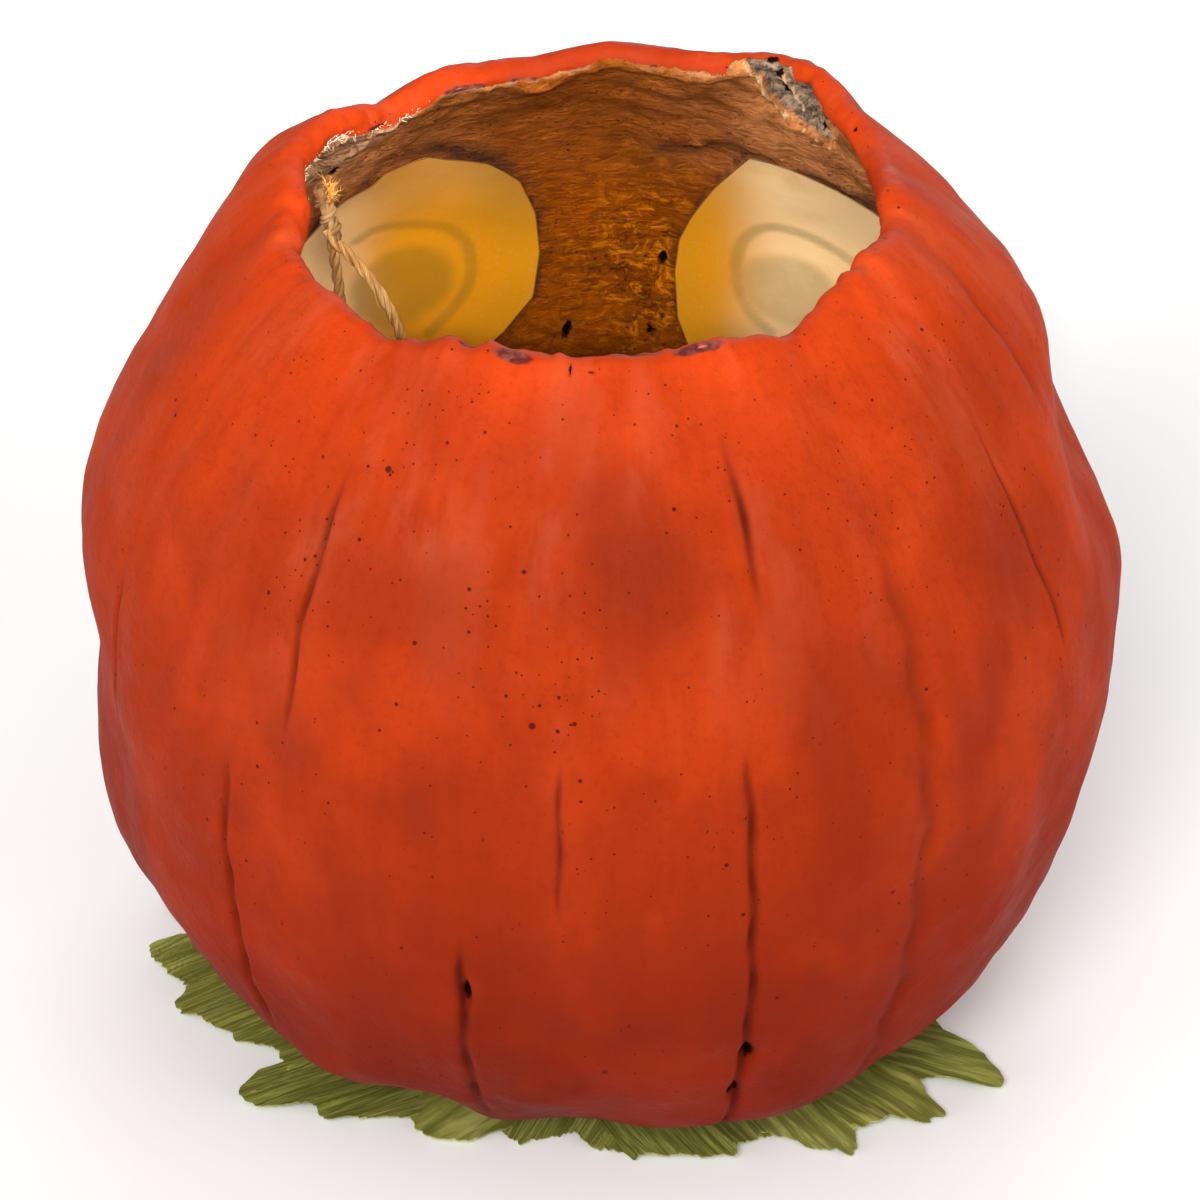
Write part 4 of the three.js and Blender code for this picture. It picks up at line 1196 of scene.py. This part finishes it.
def make_eye_paper(side, material):
    eye = EYES[side]
    grid = paper_grid(EYE_PAPERS[side], 78, 62, eye["curl"])
    x, height = grid[..., 0], grid[..., 2]
    middle, level, across, up = (number * MM for number in eye["pupil"])
    away = np.hypot((x - middle) / across, (height - level) / up)
    drawn = smooth_line(in_metres(eye["line"]), 0.5 * MM)[0]
    line = 0.75 * (1 - smooth(0.5, 1.6, line_distance(drawn, x, height) / EYE_LINE_HALF))
    ink = np.maximum(eye["dark"] * (1 - smooth(0.74, 1.10, away)), line)
    # The left paper is darkened near its right edge: painted shade, carried with the ink.
    if side == "left":
        ink = np.maximum(ink, 0.9 * smooth(-0.042, -0.022, x) * smooth(0.125, 0.165, height))
    first, last = (number * MM for number in eye["amber"])
    nose_side = smooth(first, last, x if side == "left" else -x)
    tint = nose_side * lerp(0.72, 1, smooth(-0.178, -0.140, -height))
    border = np.ones_like(x)
    border[1:-1, 1:-1] = 0
    finish_paper(
        f"eye_window_{side}", grid, material, f"eye_paper_{side}", ink=ink, tint=tint, border=border,
    )


def make_papers():
    make_eye_paper("left", paper_finish("paper_left", (255, 208, 144), (234, 156, 2)))
    make_eye_paper("right", paper_finish("paper_right", (255, 220, 160), (226, 152, 8)))
    amber = paper_finish("paper_amber", (224, 160, 40), (214, 142, 12))
    for name, outline, rows, columns in (("nose", NOSE_PAPER, 30, 36), ("mouth", MOUTH_PAPER, 40, 110)):
        grid = paper_grid(outline, rows, columns, 0.3)
        ink, tint = np.zeros((rows, columns)), smooth(-0.05, 0.05, grid[..., 0])
        finish_paper(f"{name}_window", grid, amber, f"{name}_paper", ink=ink, tint=tint)


make_papers()

# --- the leaf collar

# Crepe leaves at the back: for each, its torn outer edge as (azimuth, radius), and the way its grain
# runs on the floor, in degrees from +X, at its first and its last azimuth.
BACK_LEAVES = (
    (((-84, 110), (-83, 118), (-82.2, 120.6), (-79.7, 117.8), (-77.6, 117), (-75.4, 113.9),
      (-74.3, 112.2), (-73.2, 111.5), (-71.8, 114), (-70.1, 117.5), (-68.6, 115), (-65.4, 111.8),
      (-61.7, 107.1), (-60.2, 107), (-57.5, 102.4), (-55.7, 100.5), (-53.6, 101.3), (-50.5, 102.1)), -22, 42),
    (((-52.5, 109), (-51.8, 115.5), (-50.2, 117.5), (-48.6, 118.7), (-47, 116), (-45.5, 112.8),
      (-44, 110.4), (-43.1, 108.2), (-42, 106.5), (-40.7, 107.9), (-39.4, 107.6), (-36.7, 102.9),
      (-33, 98.5), (-29.5, 94.2)), 30, 24),
    (((-31.8, 92.5), (-29.3, 95.5), (-27.8, 97.8), (-25.9, 98.6), (-23.6, 99.8), (-21.7, 97.8),
      (-19.4, 97.5), (-18.3, 95.3), (-17.2, 91.5), (-14.5, 88.5)), 55, 68),
    (((-16.8, 89), (-15.3, 90.8), (-14, 92.9), (-11.9, 93.8), (-10.9, 92.2), (-7.2, 89.4),
      (-4.9, 87.5), (-3.7, 87.2), (-2.8, 89.7), (-1.5, 92.4), (0.1, 95.1), (0.9, 92.4), (2.6, 91)), 66, 48),
    (((0, 90.5), (1.1, 94.2), (3.4, 95.3), (4.4, 97.2), (5.8, 98), (10.8, 99.2), (14.2, 100.9),
      (17, 101.9), (18.7, 103.7), (19.8, 101.1), (21.4, 99.2), (23.2, 98.1), (25.5, 97.2)), -66, -62),
    (((23, 97), (25.7, 98), (27.2, 99.7), (28.8, 103.7), (29.4, 106.5), (30.4, 108.2), (31.3, 110.2),
      (32.1, 110.1), (32.5, 113.4), (33.1, 115), (34.5, 112.1), (36.4, 107.9), (38.2, 106.5)), -62, -56),
    (((36, 107.5), (38, 109.7), (39.2, 110.9), (40.8, 109.8), (41.6, 110.5), (43.1, 113.8),
      (44.5, 117.9), (45.4, 117.1), (46.5, 120.2), (47.2, 118.2), (47.4, 114.6), (47.7, 110.9),
      (50, 105)), -50, -44),
    (((47.5, 105.5), (50.2, 106.4), (51.7, 109.8), (52.9, 114.4), (53.6, 119.1), (54.2, 123.5),
      (54.8, 124.6), (55.9, 123.1), (57, 119.7), (57.9, 115.7), (59, 111.8), (60, 105.7),
      (60.6, 100.8), (62, 98), (64, 97)), -34, -26),
    (((63, 97), (70, 98.5), (76, 101), (84, 103), (90, 106), (93.5, 104)), -26, 4),
)
FRONT_FIRST, FRONT_LAST, FRONT_COUNT, FRONT_RADIUS = 93.5, 275.5, 6, 104
FRONT_LOBES = (-5, 5, 9, 1, 13, 4, -4)
FRONT_LEAN = (-18, 12)  # how far the grain leans from the way out, at both sides of a leaf
CREPE_THICKNESS = 0.35 * MM
ROOT_RADIUS, ROOT_HEADROOM = 0.064, 0.15 * MM
LEAF_STEP, LEAF_REACH, COLLAR_RADIUS = 0.8 * MM, 0.036, 0.110
LEAF_LOWEST, LEAF_HIGHEST = 0.4 * MM, 4.2 * MM


def leaf_outlines():
    """The leaves at the back, and as many like them as close the collar at the front."""
    leaves = list(BACK_LEAVES)
    width = (FRONT_LAST - FRONT_FIRST) / FRONT_COUNT
    for i in range(FRONT_COUNT):
        start = FRONT_FIRST + i * width
        lobes = FRONT_LOBES if i % 2 else FRONT_LOBES[::-1]
        around = np.linspace(0, 1, len(lobes)) * width + start
        edge = tuple(zip(around, (FRONT_RADIUS + lobe for lobe in lobes)))
        leaves.append((edge, start - 90 + FRONT_LEAN[0], start + width - 90 + FRONT_LEAN[1]))
    return leaves


def leaf_root(azimuth):
    """The radius where the shell's underside leaves room above the floor for a leaf."""
    q = np.linspace(FOOT_Q, FOOT_Q + 0.3, 160)[:, None]
    radius, height, _, _ = outside(azimuth, q)
    roomy = (radius >= ROOT_RADIUS) & (height >= ROOT_HEADROOM)
    return radius[np.argmax(roomy, axis=0), np.arange(len(azimuth))]


def make_leaf(number, edge, grain_from, grain_to, material):
    around, reach = np.array(edge).T
    first, last = around[0], around[-1]
    azimuth = np.linspace(first, last, int(math.radians(last - first) * COLLAR_RADIUS / LEAF_STEP))
    torn = unevenness(place(azimuth, COLLAR_RADIUS, 0), (0.30, 5, 40 + number), (0.35, 2, 60 + number))
    share = np.linspace(0, 1, int(LEAF_REACH / LEAF_STEP))[:, None]
    radius = lerp(leaf_root(azimuth), np.interp(azimuth, around, reach) * MM + torn, share)
    floor = place(azimuth, radius, 0)

    way = np.radians(lerp(grain_from, grain_to, (azimuth - first) / (last - first)))
    along = floor[..., 0] * np.cos(way) + floor[..., 1] * np.sin(way)
    across = floor[..., 1] * np.cos(way) - floor[..., 0] * np.sin(way)
    grain = stacked(along, across, 0.1 * number)
    drawn_out = grain * np.array([0.09, 1, 1])
    ridges = unevenness(drawn_out, (0.22, 2.8, 80 + number), (0.16, 1.3, 100 + number))
    fold = unevenness(drawn_out, (0.55, 12, 120 + number))
    free = smooth(0.080, 0.112, radius)
    lift = lerp(0.6, 1.9, (number * 0.37) % 1) * MM
    layer = (0.25 + 0.6 * (number % 2)) * MM
    flat = lerp(0.42, 0.75, smooth(0, 0.2, share)) * MM
    height = flat + free * (lift * share + fold + layer)
    height = height + smooth(0, 0.3, share) * ridges * (0.25 + 0.75 * free)
    points = place(azimuth, radius, np.clip(height, LEAF_LOWEST, LEAF_HIGHEST))
    name = f"leaf_{number:02d}"
    made = sheet_object(f"{name}_crepe", points[:, ::-1], CREPE_THICKNESS, material, grain=grain[:, ::-1])
    finish_piece(made, "crepe_paper", name)


def make_leaves():
    finishes = (
        crepe_finish("crepe_olive", (138, 138, 60), (178, 178, 94), (86, 86, 26)),
        crepe_finish("crepe_sage", (148, 148, 68), (188, 188, 106), (94, 96, 30)),
        crepe_finish("crepe_moss", (130, 132, 56), (170, 172, 92), (78, 82, 22)),
    )
    for i, (edge, grain_from, grain_to) in enumerate(leaf_outlines()):
        make_leaf(i + 1, edge, grain_from, grain_to, finishes[(i * 2) % 3])


make_leaves()

# --- the twine loop

TWINE_DIAMETER = 2.4 * MM
TWINE_ROUTE = in_metres((
    (-65.0, -1.6, 212.05), (-64.0, -1.9, 209.6), (-60.8, -2.6, 206.4), (-56.6, -3.8, 201.6),
    (-52.3, -5.4, 195.5), (-48.0, -7.4, 186), (-44.6, -9.4, 171), (-41.8, -11.2, 149),
    (-39.0, -12.8, 120), (-36.2, -14.0, 88), (-33.4, -14.6, 58), (-30.4, -14.2, 34),
    (-26.0, -12.0, 18), (-19.0, -7.0, 11), (-11.5, 0.0, 9.6), (-8.5, 9.0, 9.5), (-13.5, 17.5, 9.5),
    (-24.0, 21.5, 9.6), (-36.0, 20.5, 9.9), (-46.0, 15.8, 13), (-53.0, 11.0, 21),
    (-57.0, 8.0, 36), (-59.4, 6.2, 62), (-60.8, 4.8, 96), (-61.6, 3.6, 132), (-62.2, 2.8, 164),
    (-62.8, 2.4, 188), (-64.2, 2.1, 206), (-64.9, 2.0, 212.05),
))
TWINE_TWIST, KNOT_TWIST, CORE_TWIST = 0.0135, 0.0095, 0.012
KNOT_ENDS = in_metres(((-63.2, -1.0, 210.0), (-66.6, 0.8, 220.6)))
KNOT_TURNS, KNOT_SWELL = 2.6, 1.5 * MM
FLUFF_CENTRE = (-65.0, 2.0, 219.6)
LOOSE_FIBRES, STRAND_FIBRES = 130, 38


def frames_along(line):
    """Two directions square to the line at each point, that turn as little as they can."""
    tangent = unit(np.gradient(line, axis=0))
    side = [unit(np.cross(tangent[0], (0.31, 0.87, 0.38)))]
    for way in tangent[1:]:
        side.append(unit(side[-1] - way * (side[-1] @ way)))
    side = np.array(side)
    return side, np.cross(tangent, side)


def around_line(frames, angle):
    """Unit ways out from a line at angles given as rings by sides."""
    side, up = frames
    return np.cos(angle)[..., None] * side[:, None] + np.sin(angle)[..., None] * up[:, None]


def strand_tubes(line, plies, ply_radius, offset, pitch, sides):
    """Round plies twisted about a line: for each, its rings by sides and the lie of its threads."""
    frames, run = frames_along(line), run_along(line)
    turnings = np.linspace(0, 2 * math.pi, sides, endpoint=False)
    tubes = []
    for ply in range(plies):
        angle = 2 * math.pi * (run / pitch + ply / plies)[:, None]
        centre = line[:, None] + offset * around_line(frames, angle)
        rings = centre + ply_radius * around_line(frames, turnings + angle)
        tubes.append((rings, stacked(np.cos(turnings) + 3.0 * ply, np.sin(turnings), run[:, None])))
    return tubes


def fibre(start, way, length, radius, random, curl=0.35, steps=7, sides=5):
    """One loose tapering fibre that bends on its way out, as a tube."""
    line = [np.array(start, float)]
    heading = unit(np.array(way, float))
    bend = random.normal(size=3) * curl
    for _ in range(steps):
        line.append(line[-1] + heading * length / steps)
        heading = unit(heading + bend / steps + random.normal(size=3) * curl * 0.25)
    line = np.array(line)
    turnings = np.tile(np.linspace(0, 2 * math.pi, sides, endpoint=False), (len(line), 1))
    thin = radius * np.linspace(1, 0.25, len(line))[:, None, None]
    rings = line[:, None] + thin * around_line(frames_along(line), turnings)
    return rings, stacked(random.uniform(0, 50), 0 * turnings, np.linspace(0, length, len(line))[:, None])


def tube_mesh(name, tubes, material):
    """Joins tubes, each a grid of rings by sides, into one mesh with closed ends."""
    points, faces, lays = [], [], []
    first = 0
    for rings, lay in tubes:
        rows, sides = rings.shape[:2]
        last = first + (rows - 1) * sides
        faces += grid_faces(rows, sides, True, first).tolist()
        faces += [list(range(first + sides - 1, first - 1, -1)), list(range(last, last + sides))]
        points.append(rings.reshape(-1, 3))
        lays.append(lay.reshape(-1, 3))
        first += rows * sides
    made = new_object(name, np.vstack(points), faces, [material])
    set_attributes(made, lay=np.vstack(lays))
    return made


def knot_tubes():
    """The two ends of the twine side by side, bound by turns of the same twine."""
    low, high = np.array(KNOT_ENDS)
    axis = unit(high - low)
    aside = np.cross(axis, (0, 1, 0))
    around = np.cross(axis, aside)
    t = np.linspace(0, 1, 120)[:, None]
    swell = KNOT_SWELL * (0.55 + 0.45 * np.sin(math.pi * t))
    turned = 2 * math.pi * KNOT_TURNS * t
    wound = lerp(low, high, t) + swell * (np.cos(turned) * aside + 1.15 * np.sin(turned) * around)
    tubes = strand_tubes(wound, 3, TWINE_DIAMETER * 0.25, TWINE_DIAMETER * 0.23, KNOT_TWIST, 12)
    for side in (-1, 1):
        end = lerp(low, high, np.linspace(-0.1, 1.12, 30)[:, None]) + around * side * 0.8 * MM
        tubes += strand_tubes(end, 2, 0.8 * MM, 0.5 * MM, CORE_TWIST, 12)
    return tubes


def loose_fibres(line):
    """Golden fibres frayed out of the knot, and a few along the strands."""
    random = np.random.default_rng(7)
    tubes = []
    for _ in range(LOOSE_FIBRES):
        start = (np.array(FLUFF_CENTRE) + random.normal(size=3) * np.array([0.7, 1.4, 1.1])) * MM
        way = np.array([0.5, 0.7, 0.3]) + random.normal(size=3) * 0.7
        tubes.append(fibre(start, way, random.uniform(1.5, 4.5) * MM, 0.09 * MM, random, 0.9))
    for _ in range(STRAND_FIBRES):
        at = random.integers(4, len(line) - 4)
        way = line[at + 1] - line[at] + random.normal(size=3) * 0.5 * MM
        start = line[at] + random.normal(size=3) * 0.6 * MM
        tubes.append(fibre(start, way, random.uniform(3, 7) * MM, 0.07 * MM, random))
    return tubes


def make_twine():
    hemp = hemp_finish("hemp", (204, 144, 76), (98, 54, 20))
    dark_hemp = hemp_finish("hemp_dark", (158, 104, 54), (66, 36, 14))
    golden = hemp_finish("frayed_hemp", (238, 176, 74), (186, 112, 30))
    line, length = smooth_line(TWINE_ROUTE, 0.8 * MM)
    plies = strand_tubes(line, 3, TWINE_DIAMETER * 0.31, TWINE_DIAMETER * 0.29, TWINE_TWIST, 14)
    cord = tube_mesh("twine_cord", plies, hemp)
    finish_piece(cord, "hemp_twine", "twine")
    bundle = tube_mesh("twine_knot_turns", knot_tubes(), dark_hemp)
    finish_piece(bundle, "hemp_twine", "twine_knot")
    fray = tube_mesh("twine_fray", loose_fibres(line), golden)
    finish_piece(fray, "hemp_twine")


make_twine()

# --- torn fibres along the lip

# From one azimuth to another, how many bristles, and the longest in mm.
FRINGE = ((-122, -99, 260, 2.4), (-99, -92, 30, 1.8), (-140, -122, 60, 1.6))


def lip_point(azimuth, share):
    """A point on the lip at a share of its way from the outer wall to the inner one, and its normal."""
    azimuth = np.array([float(azimuth)])
    radius, height, out, up = outside(azimuth, rim_of(azimuth))
    half = LIP_THICKNESS / 2
    angle = math.pi * share
    way_out = math.cos(angle) * out - math.sin(angle) * up
    way_up = math.cos(angle) * up + math.sin(angle) * out
    point = place(azimuth, radius - half * out + half * way_out, height - half * up + half * way_up)
    return point[0], place(azimuth, way_out, way_up)[0]


def make_lip_fringe():
    """Short pale bristles of paper fibre where the lip was torn, thickest on the left."""
    pale = hemp_finish("paper_fibre", (240, 228, 202), (206, 182, 146))
    random = np.random.default_rng(19)
    tubes = []
    for first, last, count, longest in FRINGE:
        for _ in range(count):
            azimuth = random.uniform(first, last)
            point, normal = lip_point(azimuth, 0.86 + random.normal() * 0.05)
            way = normal * 0.4 + place(azimuth, 1, 0) * 0.35 + np.array([0, 0, 0.45])
            way = way + random.normal(size=3) * 0.35
            start = point - normal * 0.3 * MM
            tubes.append(fibre(start, way, random.uniform(0.8, longest) * MM, 0.13 * MM, random, 0.7, 5, 4))
    finish_piece(tube_mesh("lip_fringe", tubes, pale), "painted_pulp")


make_lip_fringe()

# --- the studio

FLOOR_SIDE = 6.0
# Soft lamps: name, place, aim, size, power, colour. Narrow lamps that light the inside through the
# open top: name, place, aim, angle, power.
LAMPS = (
    ("key", (-0.32, -1.35, 1.22), (0, 0, 0.12), 0.7, 18.5, (1.0, 0.99, 0.97)),
    ("right", (1.5, -0.9, 0.42), (0, 0, 0.08), 1.2, 17, (1.0, 0.99, 0.98)),
    ("left", (-1.5, -0.9, 0.42), (0, 0, 0.08), 1.2, 15, (1.0, 0.99, 0.98)),
    ("front", (0.35, 1.75, 0.75), (0, 0, 0.12), 1.2, 18, (1.0, 0.99, 0.97)),
)
NARROW_LAMPS = (
    ("fill_left", (0.75, -0.75, 1.0), (-0.066, 0.046, 0.190), 4.6, 84),
    ("fill_right", (-0.75, -0.75, 1.0), (0.066, 0.046, 0.190), 4.6, 34),
    ("snoot_left", (0.05, -0.97, 0.82), (-0.058, 0.098, 0.182), 6.6, 124),
    ("snoot_right", (-0.05, -0.97, 0.82), (0.058, 0.098, 0.182), 6.6, 108),
)


def make_floor():
    f = Finish("pale_floor")
    tone = f.mix(f.patches(f.where, 3, 2, 0.5, 0.3, 0.7), (250, 250, 250), (246, 246, 246))
    material = f.done(f.principled(tone, 0.9, None, 0.1))
    side = FLOOR_SIDE
    corners = [(-side, -side, 0), (side, -side, 0), (side, side, 0), (-side, side, 0)]
    new_object("floor", corners, [[0, 1, 2, 3]], [material], False)


def make_lamps():
    for name, place_at, aim, size, power, colour in LAMPS:
        data = bpy.data.lights.new(name, "AREA")
        data.shape = "DISK"
        data.size = size
        data.energy = power
        data.color = colour
        add_facing(name, data, place_at, aim)
    for name, place_at, aim, angle, power in NARROW_LAMPS:
        data = bpy.data.lights.new(name, "SPOT")
        data.spot_size = math.radians(angle)
        data.spot_blend = 1.0
        data.shadow_soft_size = 0.06
        data.energy = power
        add_facing(name, data, place_at, aim)


def make_world():
    world = bpy.data.worlds.new("studio")
    world.use_nodes = True
    background = world.node_tree.nodes["Background"]
    background.inputs["Color"].default_value = (1, 1, 1, 1)
    background.inputs["Strength"].default_value = 0.50
    bpy.context.scene.world = world
    bpy.context.scene.view_settings.view_transform = "Standard"


make_floor()
make_lamps()
make_world()
